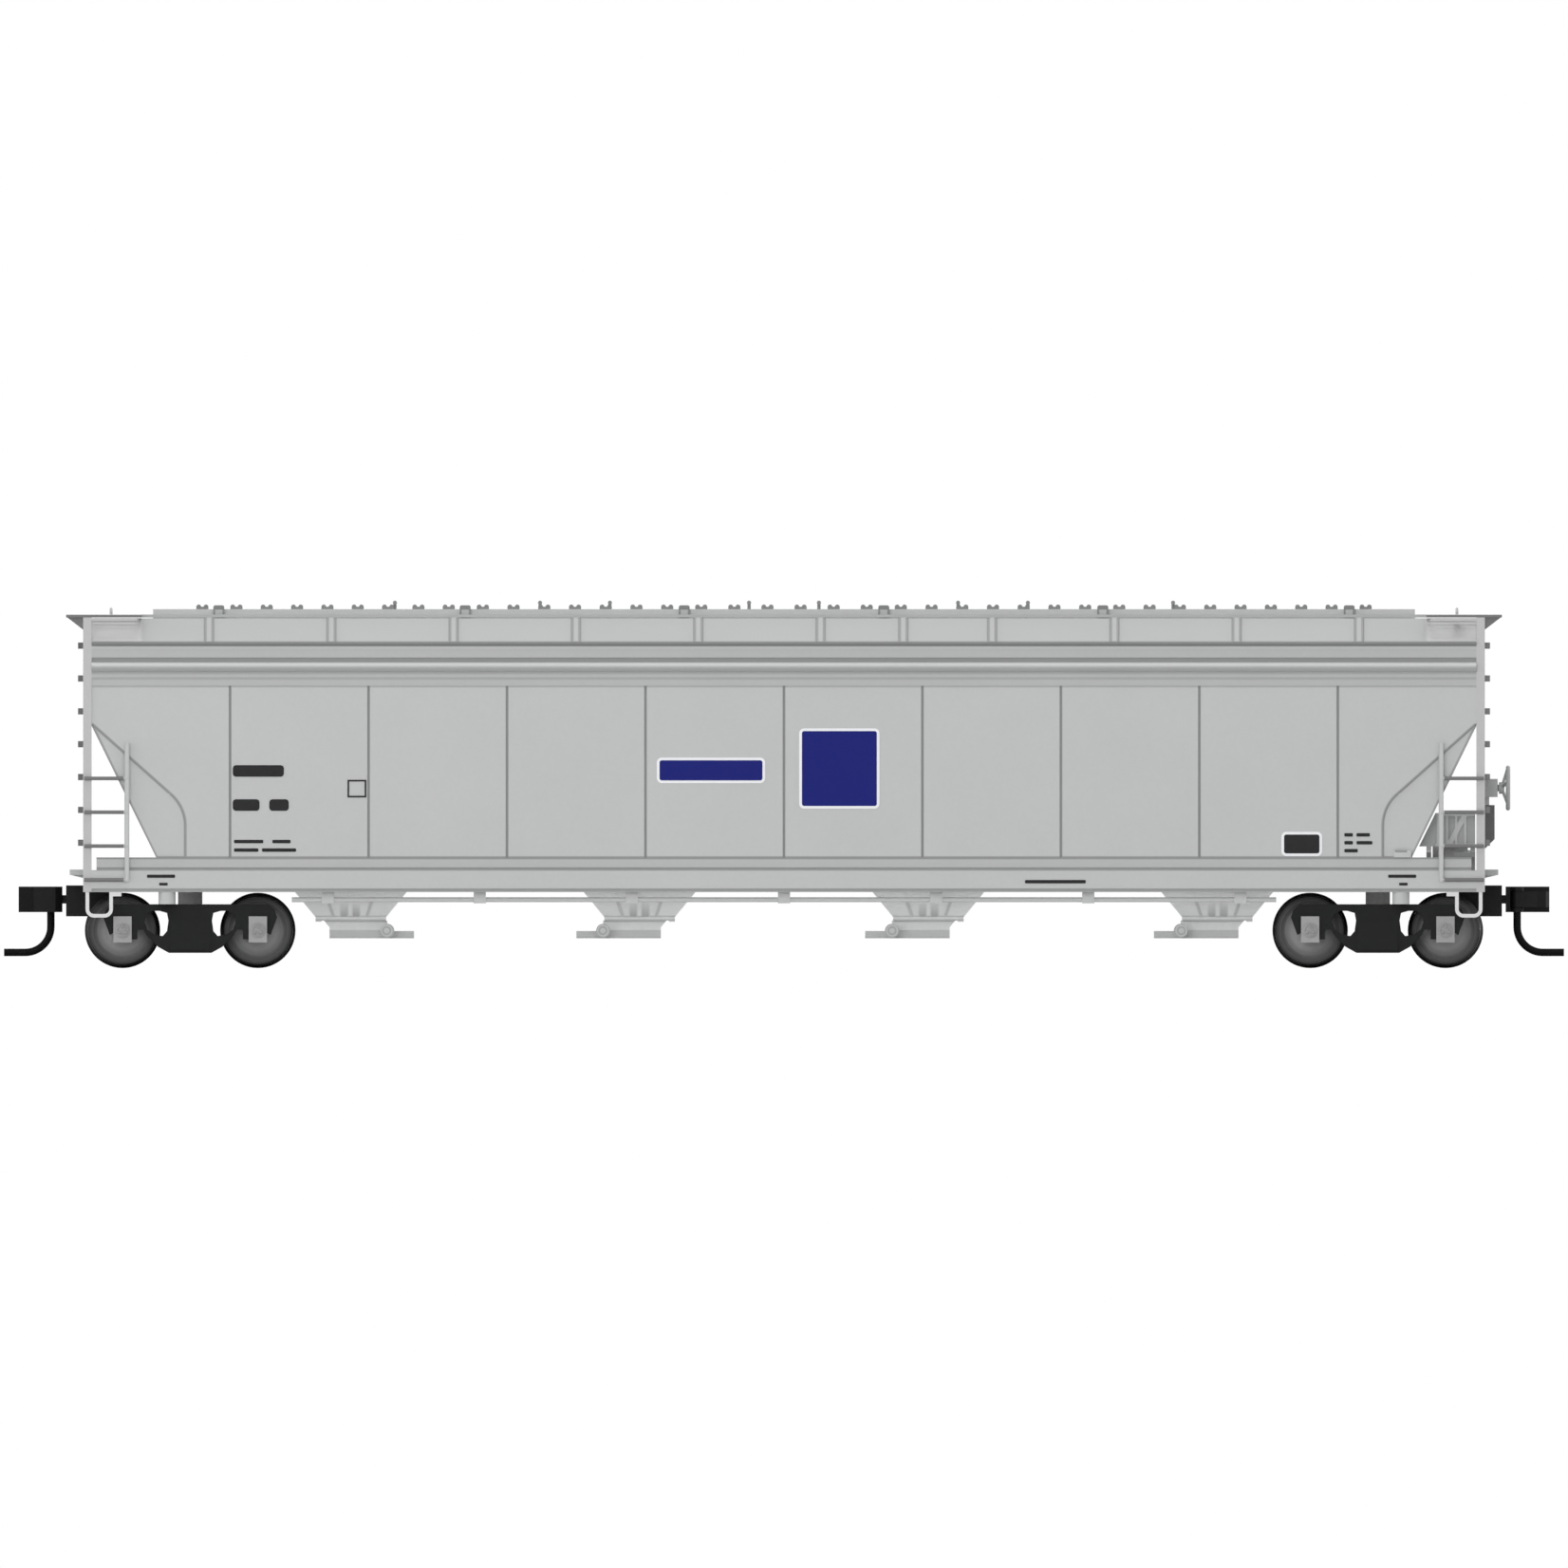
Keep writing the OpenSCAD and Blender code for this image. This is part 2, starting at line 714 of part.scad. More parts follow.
module trough() {
    block([-trough_x, trough_x], [-trough_y, trough_y], [eave_z + CUT, trough_z]);
    both_ends() {
        block([covers_x + cover_gap, trough_x], [-trough_y, trough_y], [eave_z + CUT, cover_top_z]);
        translate([covers_x + latch_edge, 0, 0])
            latch();
    }
}

module roof() {
    hollow_x = half_l - wall_t;
    color(BODY_GREY)
        difference() {
            union() {
                roof_length(-half_l, half_l, roof_y, 0, eave_z);
                for (x = rib_x)
                    roof_length(x - rib_w / 2, x + rib_w / 2, roof_y, rib_h, eave_z);
                roof_saddles();
                trough();
            }
            roof_length(-hollow_x, hollow_x, inner_y, -wall_t, eave_z - CUT);
        }
}

// Covers are numbered from end a, and grow longer away from the middle one
function cover_l(step) = [cover_mid_l, cover_next_l, cover_end_l][step];

function cover_x(step) = step == 0 ? 0 : cover_x(step - 1) + (cover_l(step - 1) + cover_l(step)) / 2;

module hatch_cover(i) {
    step = abs(i - 3);
    half = (cover_l(step) - cover_gap) / 2;
    row_l = cover_l(step) - 2 * latch_edge;
    gap_n = round(row_l / latch_pitch);
    handles = step == 2 ? [-end_handle_x] : [-handle_x, handle_x];
    color(BODY_GREY)
        mirror([i < 3 ? 1 : 0, 0, 0])
            translate([cover_x(step), 0, 0]) {
                block([-half, half], [-trough_y, trough_y], [trough_z, cover_top_z]);
                for (k = [0:gap_n])
                    translate([(k / gap_n - 0.5) * row_l, 0, 0])
                        latch();
                for (x = handles)
                    translate([x, 0, 0])
                        lock_handle();
            }
}

// A bar across the cover with a pair of round lugs at each side
module latch() {
    bar_w = 0.3;
    bar_h = 0.2;
    lug_z = cover_top_z + latch_h - lug_r;
    block([-bar_w / 2, bar_w / 2], [-trough_y, trough_y], [trough_z, cover_top_z + bar_h]);
    both_sides()
        for (x = [-1, 1] * lug_gap / 2) {
            block([x - lug_r, x + lug_r], [trough_y - latch_d, trough_y], [trough_z, lug_z]);
            rod_y([x, trough_y - latch_d, lug_z], latch_d, 2 * lug_r);
        }
}

// A short lever that stands up beside a latch, with a round bar through its top
module lock_handle() {
    y = -trough_y + latch_d / 2;
    bar_l = 0.6;
    bar_z = cover_top_z + handle_h - handle_d / 2;
    rod_z([0, y, trough_z], bar_z - trough_z, 0.8 * handle_d);
    rod_y([0, y - bar_l / 2, bar_z], bar_l, handle_d);
}

// A plate in X and Y with a row of slots across its length
module slotted_plate(x, y, z) {
    run = x[1] - x[0] - 2 * slot_edge;
    n = floor((run + slot_pitch - slot_w) / slot_pitch + SLACK);
    first = (x[0] + x[1]) / 2 - (n - 1) * slot_pitch / 2;
    translate([0, 0, z[0]])
        linear_extrude(z[1] - z[0])
            difference() {
                translate([x[0], y[0]])
                    square([x[1] - x[0], y[1] - y[0]]);
                for (k = [0:n - 1])
                    translate([first + k * slot_pitch - slot_w / 2, y[0] + slot_edge])
                        square([slot_w, y[1] - y[0] - 2 * slot_edge]);
            }
}

module running_board(side) {
    y = side == "left" ? [board_in, board_in + board_w] : [-board_in - board_w, -board_in];
    color(DETAIL_GREY)
        slotted_plate([-walk_x0, walk_x0], y, [board_z, board_top_z]);
}

module end_walk(e) {
    bracket_y = post_in_y + bracket_in;
    color(DETAIL_GREY)
        at_end(e) {
            rotate([0, 0, 90])
                slotted_plate([-sill_y, sill_y], [-walk_x1, -walk_x0], [board_z, board_top_z]);
            both_sides()
                upright(bracket_y, bracket_y + bracket_t)
                    polygon([[end_x, board_z], [walk_x1 - tip_back, board_z], [end_x, board_z - bracket_h]]);
            grab_iron();
        }
}

// A low wire hoop above the end ladder, on a strap let into the end walk
module grab_iron() {
    foot_z = board_z + board_t / 2;
    rail_z = board_top_z + grab_h;
    half = end_ladder_w / 2;
    translate([end_x - grab_in, -post_in_y + half, 0])
        both_sides() {
            block(
                [-grab_strap_w / 2, grab_strap_w / 2],
                [0, half + grab_strap_w / 2],
                [board_z, board_top_z]
            );
            rod_z([0, half, foot_z], rail_z - grab_bend - foot_z, 2 * grab_r);
            translate([0, half - grab_bend, rail_z - grab_bend])
                rotate([90, 0, 90])
                    rotate_extrude(angle = 90)
                        translate([grab_bend, 0])
                            circle(grab_r, $fn = 24);
            rod_y([0, 0, rail_z], half - grab_bend, 2 * grab_r);
        }
}

module corner_posts() {
    color(BODY_GREY)
        both_ends()
            both_sides()
                block([half_l, end_x], [post_in_y, sill_y], [sill_z, board_z]);
}

module end_sills() {
    color(BODY_GREY)
        both_ends()
            block([half_l, end_x], [-post_in_y, post_in_y], [deck_z, end_sill_top_z]);
}

module side_ladder() {
    foot_h = 0.7;
    x = [side_stile_x - stile_w, side_stile_x];
    rung_x0 = side_stile_x - stile_w / 2;
    rung_x1 = end_x - tip_back;
    block(x, [sill_y, sill_y + stile_t], [side_rung_z - rung_r, side_stile_z]);
    block(x, [skin_y, sill_y + stile_t], [side_stile_z - foot_h, side_stile_z]);
    for (k = [0:side_rung_n - 1]) {
        z = side_rung_z + k * side_rung_pitch;
        rod_x([rung_x0, sill_y + rung_r, z], rung_x1 - rung_x0, 2 * rung_r);
        block([rung_x1 - foot_l, rung_x1], [sill_y, sill_y + rung_r], [z - rung_r, z + rung_r]);
    }
}

module side_ladders() {
    color(DETAIL_GREY)
        both_ends()
            both_sides()
                side_ladder();
}

module end_ladder(e) {
    lug_h = 0.52;
    lug_d = 0.42;
    color(DETAIL_GREY)
        at_end(e) {
            block([half_l, end_x], [-end_stile_y, -end_stile_y + stile_w], [end_sill_top_z, eave_z]);
            for (k = [0:end_rung_n - 1]) {
                z = end_rung_z + k * end_rung_pitch;
                rod_y([end_x + rung_r, -post_in_y - foot_l, z], end_ladder_w + foot_l + stile_w, 2 * rung_r);
                for (y = [
                    [-post_in_y - foot_l, -post_in_y - tip_back],
                    [-end_stile_y, -end_stile_y + stile_w]
                ])
                    block([end_x, end_x + lug_d], y, [z - lug_h / 2, z + lug_h / 2]);
            }
        }
}

module crossover_platforms() {
    half = platform_w / 2;
    z = [end_sill_top_z - platform_t, end_sill_top_z];
    rib_drop = 0.25;
    rib_t = 0.3;
    rib_y = half - 1;
    tip_x = end_x + platform_reach - tip_back;
    color(DETAIL_GREY)
        both_ends() {
            rotate([0, 0, 90])
                slotted_plate([-half, half], [-end_x - platform_reach, -end_x], z);
            both_sides()
                upright(rib_y, rib_y + rib_t)
                    polygon([[end_x, z[0]], [tip_x, z[0]], [end_x, z[0] - rib_drop]]);
        }
}

// A strap bent down, along and up again with rounded corners
module strap_outline(l, h, r) {
    translate([0, r])
        square([l, h - r]);
    translate([r, 0])
        square([l - 2 * r, h]);
    for (x = [r, l - r])
        translate([x, r])
            circle(r);
}

module sill_steps() {
    bend = 0.7;
    foot_h = 0.35;
    color(PALE_GREY)
        both_ends()
            both_sides()
                translate([step_x1 - step_l, 0, sill_z - step_drop])
                    upright(skin_y - step_d, skin_y) {
                        difference() {
                            strap_outline(step_l, step_drop, bend);
                            translate([step_t, step_t])
                                strap_outline(step_l - 2 * step_t, step_drop, bend - step_t);
                        }
                        translate([-step_foot_l, step_drop - foot_h])
                            square([step_foot_l + step_t, foot_h]);
                    }
}

module underframe() {
    stub_gap = 0.2;
    stub_x = outer_bay_x + bay_top_l / 2 + stub_gap;
    color(BODY_GREY)
        difference() {
            union() {
                block([-half_l, half_l], [-inner_y, inner_y], [deck_z, deck_top_z]);
                both_ends() {
                    rod_z([truck_x, 0, center_plate_z], deck_top_z - center_plate_z, plate_d);
                    block(
                        [truck_x - body_bolster_w / 2, truck_x + body_bolster_w / 2],
                        [-inner_y, inner_y],
                        [deck_z - bolster_drop, deck_top_z]
                    );
                    block(
                        [stub_x, box_x0],
                        [-center_sill_w / 2, center_sill_w / 2],
                        [deck_z - bolster_drop, deck_top_z]
                    );
                }
            }
            both_ends() {
                rod_z([truck_x, 0, center_plate_z - CUT], kingpin_top_z - center_plate_z + CUT, kingpin_d);
                rod_z([swing_x, 0, deck_z - CUT], coupler_screw_z - deck_z + CUT, coupler_screw_d);
            }
        }
}

module weight() {
    color(STEEL)
        block(
            [-weight_l / 2, weight_l / 2],
            [-weight_w / 2, weight_w / 2],
            [deck_top_z, deck_top_z + weight_t]
        );
}

function bay_x(i) = (i - 2.5) * bay_pitch;

// Two tapering outlines crossed, with an upright rib and two leaning ones on each side face
module hopper_bay(i) {
    z0 = bay_flange_z;
    rib_t = 0.2;
    rib_foot_x = 1.25;
    rib_top_x = 2.15;
    color(DETAIL_GREY)
        translate([bay_x(i), 0, 0]) {
            intersection() {
                upright(-bay_top_w / 2, bay_top_w / 2)
                    polygon(both_halves([[bay_bottom_l / 2, z0], [bay_top_l / 2, deck_z]]));
                lengthwise(-bay_top_l / 2, bay_top_l / 2)
                    polygon(both_halves([[bay_bottom_w / 2, z0], [bay_top_w / 2, deck_z]]));
            }
            intersection() {
                upright(-bay_top_w / 2 - bay_rib_h, bay_top_w / 2 + bay_rib_h) {
                    translate([-rib_t, z0])
                        square([2 * rib_t, bay_h]);
                    for (s = [-1, 1])
                        polygon([
                            [s * rib_foot_x, z0], [s * (rib_foot_x + rib_t), z0],
                            [s * (rib_top_x + rib_t), deck_z], [s * rib_top_x, deck_z]
                        ]);
                }
                lengthwise(-bay_top_l / 2, bay_top_l / 2)
                    polygon(both_halves([
                        [bay_bottom_w / 2 + bay_rib_h, z0],
                        [bay_top_w / 2 + bay_rib_h, deck_z]
                    ]));
            }
        }
}

// The first outlet slides towards the middle of the car, and the others the other way
module outlet_gate(i) {
    front = bay_bottom_l / 2;
    flange_half = bay_bottom_w / 2;
    half = gate_w / 2;
    shaft = pinion_l / 2;
    capstan_l = 0.7;
    cheek_l = 0.75;
    cheek_t = 0.5;
    gusset_l = 0.45;
    gusset_h = 0.55;
    lug_l = 0.5;
    lug_w = 0.8;
    lug_over = 0.1;
    color(DETAIL_GREY)
        translate([bay_x(i), 0, 0])
            mirror([i == 1 ? 0 : 1, 0, 0]) {
                block([-front, front], [-flange_half, flange_half], [gate_frame_z, bay_flange_z]);
                block([-gate_back_l, front - cheek_l], [-half, half], [gate_rail_z, gate_frame_z]);
                block([-gate_back_l, gate_rail_l], [-half, half], [gate_rail_z - gate_rail_t, gate_rail_z]);
                rod_y([pinion_x, -shaft, pinion_z], pinion_l, pinion_d);
                both_sides() {
                    rod_y([pinion_x, shaft - capstan_l, pinion_z], capstan_l, capstan_d);
                    block([front - cheek_l, pinion_x], [half - cheek_t, half], [gate_rail_z, gate_frame_z]);
                    upright(half - cheek_t, half)
                        polygon([
                            [-gate_back_l, gate_frame_z - gusset_h],
                            [-gate_back_l - gusset_l, gate_frame_z],
                            [-gate_back_l, gate_frame_z]
                        ]);
                    block(
                        [-front, lug_l - front],
                        [flange_half - lug_w, flange_half + lug_over],
                        [gate_frame_z - lug_over, bay_flange_z]
                    );
                }
            }
}

module brake_pipe() {
    hanger_l = 1;
    hanger_t = 0.1;
    lap = pipe_d / 2 + hanger_t;
    color(DETAIL_GREY) {
        rod_x([-pipe_l / 2, pipe_y, pipe_z], pipe_l, pipe_d);
        for (k = [-3:3])
            block(
                [k * hanger_pitch - hanger_l / 2, k * hanger_pitch + hanger_l / 2],
                [pipe_y - lap, pipe_y + lap],
                [pipe_z - lap, deck_z]
            );
    }
}

// Domed tank across the deck on two saddles
module air_reservoir() {
    x = half_l - reservoir_in;
    z = deck_top_z + reservoir_up;
    saddle_in = 1.5;
    tank_step = 0.5;
    saddle_w = 0.5;
    saddle_x = reservoir_d / 4;
    color(BODY_GREY) {
        rod_y([x, reservoir_y, z], reservoir_l, reservoir_d);
        rod_y([x, reservoir_y - tank_end_l, z], reservoir_l + 2 * tank_end_l, reservoir_d - tank_step);
        for (y = [reservoir_y + saddle_in, reservoir_y + reservoir_l - saddle_in])
            block([x - saddle_x, x + saddle_x], [y - saddle_w / 2, y + saddle_w / 2], [deck_top_z, z]);
    }
}

module control_valve() {
    x = half_l - valve_in;
    y = reservoir_y + reservoir_l + tank_end_l + valve_gap + valve_w / 2;
    base_h = 1.4;
    base_x = 0.5;
    body_h = 3;
    body_x = 0.9;
    body_y = 0.5;
    boss_l = 2.4;
    boss_d = 0.8;
    color(BODY_GREY) {
        block(
            [x - base_x, x + base_x],
            [y - valve_w / 2, y + valve_w / 2],
            [deck_top_z, deck_top_z + base_h]
        );
        block(
            [x - body_x, x + body_x],
            [y - body_y, y + body_y],
            [deck_top_z + base_h, deck_top_z + body_h]
        );
        rod_x([x - boss_l / 2, y, deck_top_z + (base_h + body_h) / 2], boss_l, boss_d);
    }
}

module brake_cylinder() {
    x1 = half_l - cylinder_back;
    x0 = x1 - brake_cyl_l;
    y = inner_y - cylinder_in;
    z = deck_top_z + cylinder_up;
    rod_d = 0.6;
    foot_in = 0.4;
    foot_y = 0.5;
    color(BODY_GREY) {
        rod_x([x0, y, z], brake_cyl_l, brake_cyl_d);
        rod_x([x1, y, z], rod_d, rod_d);
        block([x0 + foot_in, x1 - foot_in], [y - foot_y, y + foot_y], [deck_top_z, z]);
    }
}

// Upright ribbed panel under the slope sheet, braced across, on two legs beside a barred tread
module equipment_bracket() {
    equip_in = 0.8;
    y1 = -inner_y + equip_in;
    y0 = y1 - equip_t;
    rib_t = 0.12;
    rib_l = 0.2;
    rib_step = 0.75;
    brace_l = 0.5;
    brace_in = 0.8;
    leg_w = 0.4;
    leg_in = 0.6;
    z0 = deck_top_z + equip_leg_h;
    z1 = deck_top_z + equip_h;
    x1 = half_l - tip_back;
    slope_gap = 0.15;
    x0 = slope_foot_x + slope_gap + slope_lean * (z0 - sill_top_z);
    x2 = slope_foot_x + slope_gap + slope_lean * (z1 - sill_top_z);
    rail_h = 0.25;
    tread_h = 0.4;
    tread_l = 1.75;
    tread_x = x1 - tread_l;
    bar_t = 0.25;
    bar_pitch = 0.5;
    color(DETAIL_GREY) {
        for (x = [tread_x : bar_pitch : x1 - bar_t])
            block([x, x + bar_t], [-plate_y, y1], [sill_top_z, sill_top_z + tread_h]);
        for (y = [-plate_y, y1 - bar_t])
            block([tread_x, x1], [y, y + bar_t], [sill_top_z, sill_top_z + tread_h]);
        upright(y0, y1)
            polygon([[x0, z0], [x1, z0], [x1, z1], [x2, z1]]);
        for (x = [x2 + rib_l / 2 : rib_step : x1 - rib_l])
            block([x, x + rib_l], [y0 - rib_t, y0], [z0, z1]);
        for (z = [z0, z1 - rail_h])
            block([x2, x1], [y0 - rib_t, y0], [z, z + rail_h]);
        upright(y0 - rib_t, y0)
            polygon([
                [x2 + brace_in, z0], [x2 + brace_in + brace_l, z0],
                [x1 - brace_l, z1], [x1 - 2 * brace_l, z1]
            ]);
        for (x = [x0 + leg_in, x1 - leg_w])
            block([x, x + leg_w], [y0, y1], [deck_top_z, z0]);
    }
}

// Post from the end sill up to the end sheet, with the gear housing and the chain guard
module brake_stand() {
    y = [-stand_y - stand_w / 2, -stand_y + stand_w / 2];
    housing_z = brake_z - housing_h / 2;
    strut_t = 0.35;
    strut_l = 0.65;
    guard_t = 0.8;
    guard_w = 0.5;
    guard_l = 2.8;
    guard_top_z = housing_z - strut_l;
    guard_z = guard_top_z - guard_l;
    post_over = 1.2;
    color(BODY_GREY)
        difference() {
            union() {
                block([half_l, end_x], y, [end_sill_top_z, slope_top_z + post_over]);
                block(
                    [end_x, end_x + housing_t],
                    [-stand_y - housing_w / 2, -stand_y + housing_w / 2],
                    [housing_z, housing_z + housing_h]
                );
                upright(-stand_y - guard_w / 2, -stand_y + guard_w / 2)
                    polygon([
                        [end_x, housing_z], [end_x + strut_t, housing_z],
                        [end_x + strut_t, guard_top_z], [end_x + guard_t, guard_top_z],
                        [end_x + guard_t, guard_z], [end_x, guard_z - guard_t]
                    ]);
            }
            rod_x([end_x, -stand_y, brake_z], housing_t + CUT, spindle_d + 2 * run_fit);
        }
}

// Dished hand wheel on a spindle that turns in the housing
module brake_wheel() {
    spindle_x = end_x + face_gap;
    hub_x = end_x + housing_t + face_gap;
    hub_l = 0.45;
    hub_d = 0.95;
    rim_r = (brake_wheel_d - brake_rim_d) / 2;
    rim_x = hub_x + brake_dish;
    spoke_d = 0.26;
    lean = atan2(brake_dish - hub_l / 2, rim_r);
    spoke_l = norm([brake_dish - hub_l / 2, rim_r]);
    color(BODY_GREY)
        translate([0, -stand_y, brake_z]) {
            rod_x([spindle_x, 0, 0], hub_x - spindle_x + hub_l, spindle_d);
            rod_x([hub_x, 0, 0], hub_l, hub_d);
            translate([rim_x, 0, 0])
                rotate([0, 90, 0])
                    rotate_extrude()
                        translate([rim_r, 0])
                            circle(d = brake_rim_d, $fn = 24);
            for (k = [0:spoke_n - 1])
                rotate([k * 360 / spoke_n, 0, 0])
                    translate([hub_x + hub_l / 2, 0, 0])
                        rotate([0, lean, 0])
                            cylinder(h = spoke_l, d = spoke_d, $fn = 24);
        }
}

// Tray that hangs under the deck, open at its mouth and below, with the post in it
module draft_box(e) {
    color(COUPLER_BLACK)
        at_end(e)
            difference() {
                union() {
                    difference() {
                        block([box_x0, box_x1], [-box_y, box_y], [lid_top_z, deck_z]);
                        block(
                            [box_x0 + box_wall, box_x1 + CUT],
                            [-cavity_y, cavity_y],
                            [lid_top_z - CUT, cavity_z]
                        );
                    }
                    rod_z([swing_x, 0, lid_top_z], deck_z - lid_top_z, swing_d);
                }
                rod_z([swing_x, 0, lid_top_z - CUT], box_h + 2 * CUT, coupler_screw_d);
            }
}

module draft_lids() {
    color(COUPLER_BLACK)
        both_ends()
            difference() {
                block([box_x0, box_x1], [-box_y, box_y], [box_z, lid_top_z]);
                rod_z([swing_x, 0, box_z - CUT], lid_t + 2 * CUT, coupler_screw_d);
            }
}

// Screw with a slotted head below its shank
module screw(x, head_z, top_z, d, head_d, head_h) {
    slot = 0.22;
    difference() {
        union() {
            rod_z([x, 0, head_z], top_z - head_z, d);
            rod_z([x, 0, head_z - head_h], head_h, head_d);
        }
        block(
            [x - head_d, x + head_d],
            [-slot / 2, slot / 2],
            [head_z - head_h - CUT, head_z - head_h / 2]
        );
    }
}

module coupler_screws() {
    color(STEEL)
        both_ends()
            screw(
                swing_x, box_z, coupler_screw_z,
                coupler_screw_d, coupler_screw_head_d, coupler_screw_head_h
            );
}

module truck_screws() {
    color(STEEL)
        both_ends()
            screw(truck_x, kingpin_z, kingpin_top_z, kingpin_d, kingpin_head_d, kingpin_head_h);
}

// Bronze strip bent to a U behind the coupler's eye, one arm along each wall
module centring_springs() {
    x0 = box_x0 + box_wall;
    z = [lid_top_z + face_gap, cavity_z - face_gap];
    arm_gap = 0.12;
    arm_y = cavity_y - arm_gap;
    arm_back = 0.7;
    color(BRONZE)
        both_ends() {
            block([x0, x0 + spring_t], [-arm_y, arm_y], z);
            both_sides()
                block([x0, box_x1 - arm_back], [arm_y - spring_t, arm_y], z);
        }
}

// Plan of the head without its knuckle: the back and the guard arm
function head_plan() = [
    [0, -0.26 * head_w], [0, 0.26 * head_w], [0.16 * head_l, 0.38 * head_w],
    [0.65 * head_l, 0.45 * head_w], [head_l, 0.58 * head_w], [head_l, 0.42 * head_w],
    [0.62 * head_l, 0.25 * head_w], [0.42 * head_l, 0.13 * head_w], [0.4 * head_l, -0.06 * head_w],
    [pin_x, -pin_y]
];

// Plan of the knuckle from its pin forwards to the hook
function knuckle_plan() = [
    [pin_x, -pin_y - 0.45], [0.72 * head_l, -0.45 * head_w], [0.92 * head_l, -0.36 * head_w],
    [head_l, -0.18 * head_w], [0.99 * head_l, 0.02 * head_w], [0.9 * head_l, 0.11 * head_w],
    [0.81 * head_l, 0.03 * head_w], [0.82 * head_l, -0.12 * head_w], [0.72 * head_l, -0.22 * head_w],
    [0.46 * head_l, -0.17 * head_w], [pin_x, -pin_y + 0.3]
];

module coupler(e) {
    ear_d = 1.1;
    pocket_d = 1.16;
    shank_z = [lid_top_z + face_gap, cavity_z - face_gap];
    neck_z = [coupler_z - neck_t / 2, coupler_z + neck_t / 2];
    shank_back = 0.3;
    neck_lap = 0.2;
    half = shank_w / 2;
    color(COUPLER_BLACK)
        at_end(e)
            difference() {
                union() {
                    rod_z([swing_x, 0, shank_z[0]], shank_z[1] - shank_z[0], eye_d);
                    block([swing_x, box_x1 - shank_back], [-half, half], shank_z);
                    block([swing_x, head_x + neck_lap], [-half, half], neck_z);
                    translate([head_x, 0, head_z])
                        linear_extrude(head_h)
                            polygon(head_plan());
                    rod_z([knuckle_x, -pin_y, head_z], head_h, ear_d);
                }
                rod_z([swing_x, 0, lid_top_z - CUT], box_h + 2 * CUT, swing_d + 2 * run_fit);
                rod_z([knuckle_x, -pin_y, head_z - CUT], head_h + 2 * CUT, trip_d + 2 * run_fit);
                rod_z([knuckle_x, -pin_y, head_z + ear_t], head_h - 2 * ear_t, pocket_d);
            }
}

module knuckle(e) {
    boss_d = 0.96;
    color(COUPLER_BLACK)
        at_end(e)
            difference() {
                union() {
                    translate([head_x, 0, knuckle_z])
                        linear_extrude(knuckle_h)
                            polygon(knuckle_plan());
                    rod_z([knuckle_x, -pin_y, knuckle_z], knuckle_h, boss_d);
                }
                rod_z([knuckle_x, -pin_y, knuckle_z - CUT], knuckle_h + 2 * CUT, trip_d);
            }
}

// Wire that is the knuckle's pin above and bends outwards to a foot below
module trip_pin(e) {
    bend_z = trip_z + trip_bend;
    foot_x = knuckle_x + trip_bend;
    color(COUPLER_BLACK)
        at_end(e)
            translate([0, -pin_y, 0]) {
                rod_z([knuckle_x, 0, bend_z], head_top_z - bend_z, trip_d);
                translate([foot_x, 0, bend_z])
                    rotate([90, 0, 0])
                        rotate([0, 0, 180])
                            rotate_extrude(angle = 90)
                                translate([trip_bend, 0])
                                    circle(d = trip_d, $fn = 24);
                rod_x([foot_x, 0, trip_z], trip_x1 - foot_x, trip_d);
            }
}

// Right-hand half of a side frame's outline, from its bottom round to its top
function frame_half() = [
    [column_w / 2, frame_bottom_z],
    [column_w / 2 + 0.9, frame_bottom_z + 0.5],
    [jaw_in - 1.2, axle_z - 0.37],
    [jaw_in - 0.97, axle_z + 0.07],
    [jaw_in - 0.47, axle_z + 0.07],
    [jaw_in - 0.47, axle_z - 0.74],
    [jaw_in, axle_z - 0.74],
    [jaw_in, axle_z + bearing_rise],
    [jaw_out, axle_z + bearing_rise],
    [jaw_out, axle_z - 0.2],
    [jaw_out + 0.3, axle_z - 0.4],
    [jaw_out + 0.83, axle_z + 1.06],
    [jaw_out + 0.64, axle_z + 1.68],
    [jaw_out + 0.1, frame_top_z]
];

// Rounded opening between the middle block and the jaws
function frame_window() = [
    [column_w / 2 + 0.16, axle_z + 1.43],
    [column_w / 2 + 0.04, axle_z + 0.81],
    [column_w / 2 + 0.16, axle_z - 0.06],
    [column_w / 2 + 0.5, axle_z - 0.46],
    [jaw_in - 1.9, axle_z - 0.37],
    [jaw_in - 1.28, axle_z + 0.07],
    [jaw_in - 1.07, axle_z + 0.68],
    [jaw_in - 1.16, axle_z + 1.24],
    [jaw_in - 1.7, frame_top_z - frame_bar_h],
    [jaw_in - 2.3, frame_top_z - frame_bar_h]
];

module side_frame() {
    relief = 0.12;
    panel_in = 0.1;
    panel_up = 0.2;
    panel_top = 0.9;
    upright(frame_y0, frame_y1)
        difference() {
            polygon(both_halves(frame_half()));
            polygon(frame_window());
            mirror([1, 0])
                polygon(frame_window());
        }
    block(
        [-column_w / 2 + panel_in, column_w / 2 - panel_in],
        [frame_y1 - relief, frame_y1 + relief],
        [frame_bottom_z + panel_up, axle_z + panel_top]
    );
}

module truck_frame(e) {
    color(TRUCK_BLACK)
        at_end(e)
            translate([truck_x, 0, 0])
                difference() {
                    union() {
                        both_sides()
                            side_frame();
                        block(
                            [-bolster_w / 2, bolster_w / 2],
                            [-frame_y0 - bolster_lap, frame_y0 + bolster_lap],
                            [bolster_z, bolster_top_z - bowl_h]
                        );
                        rod_z([0, 0, bolster_z], bolster_top_z - bolster_z, bolster_w);
                    }
                    rod_z(
                        [0, 0, bolster_z - CUT],
                        bolster_top - bolster_up + 2 * CUT,
                        kingpin_d + 2 * run_fit
                    );
                }
}

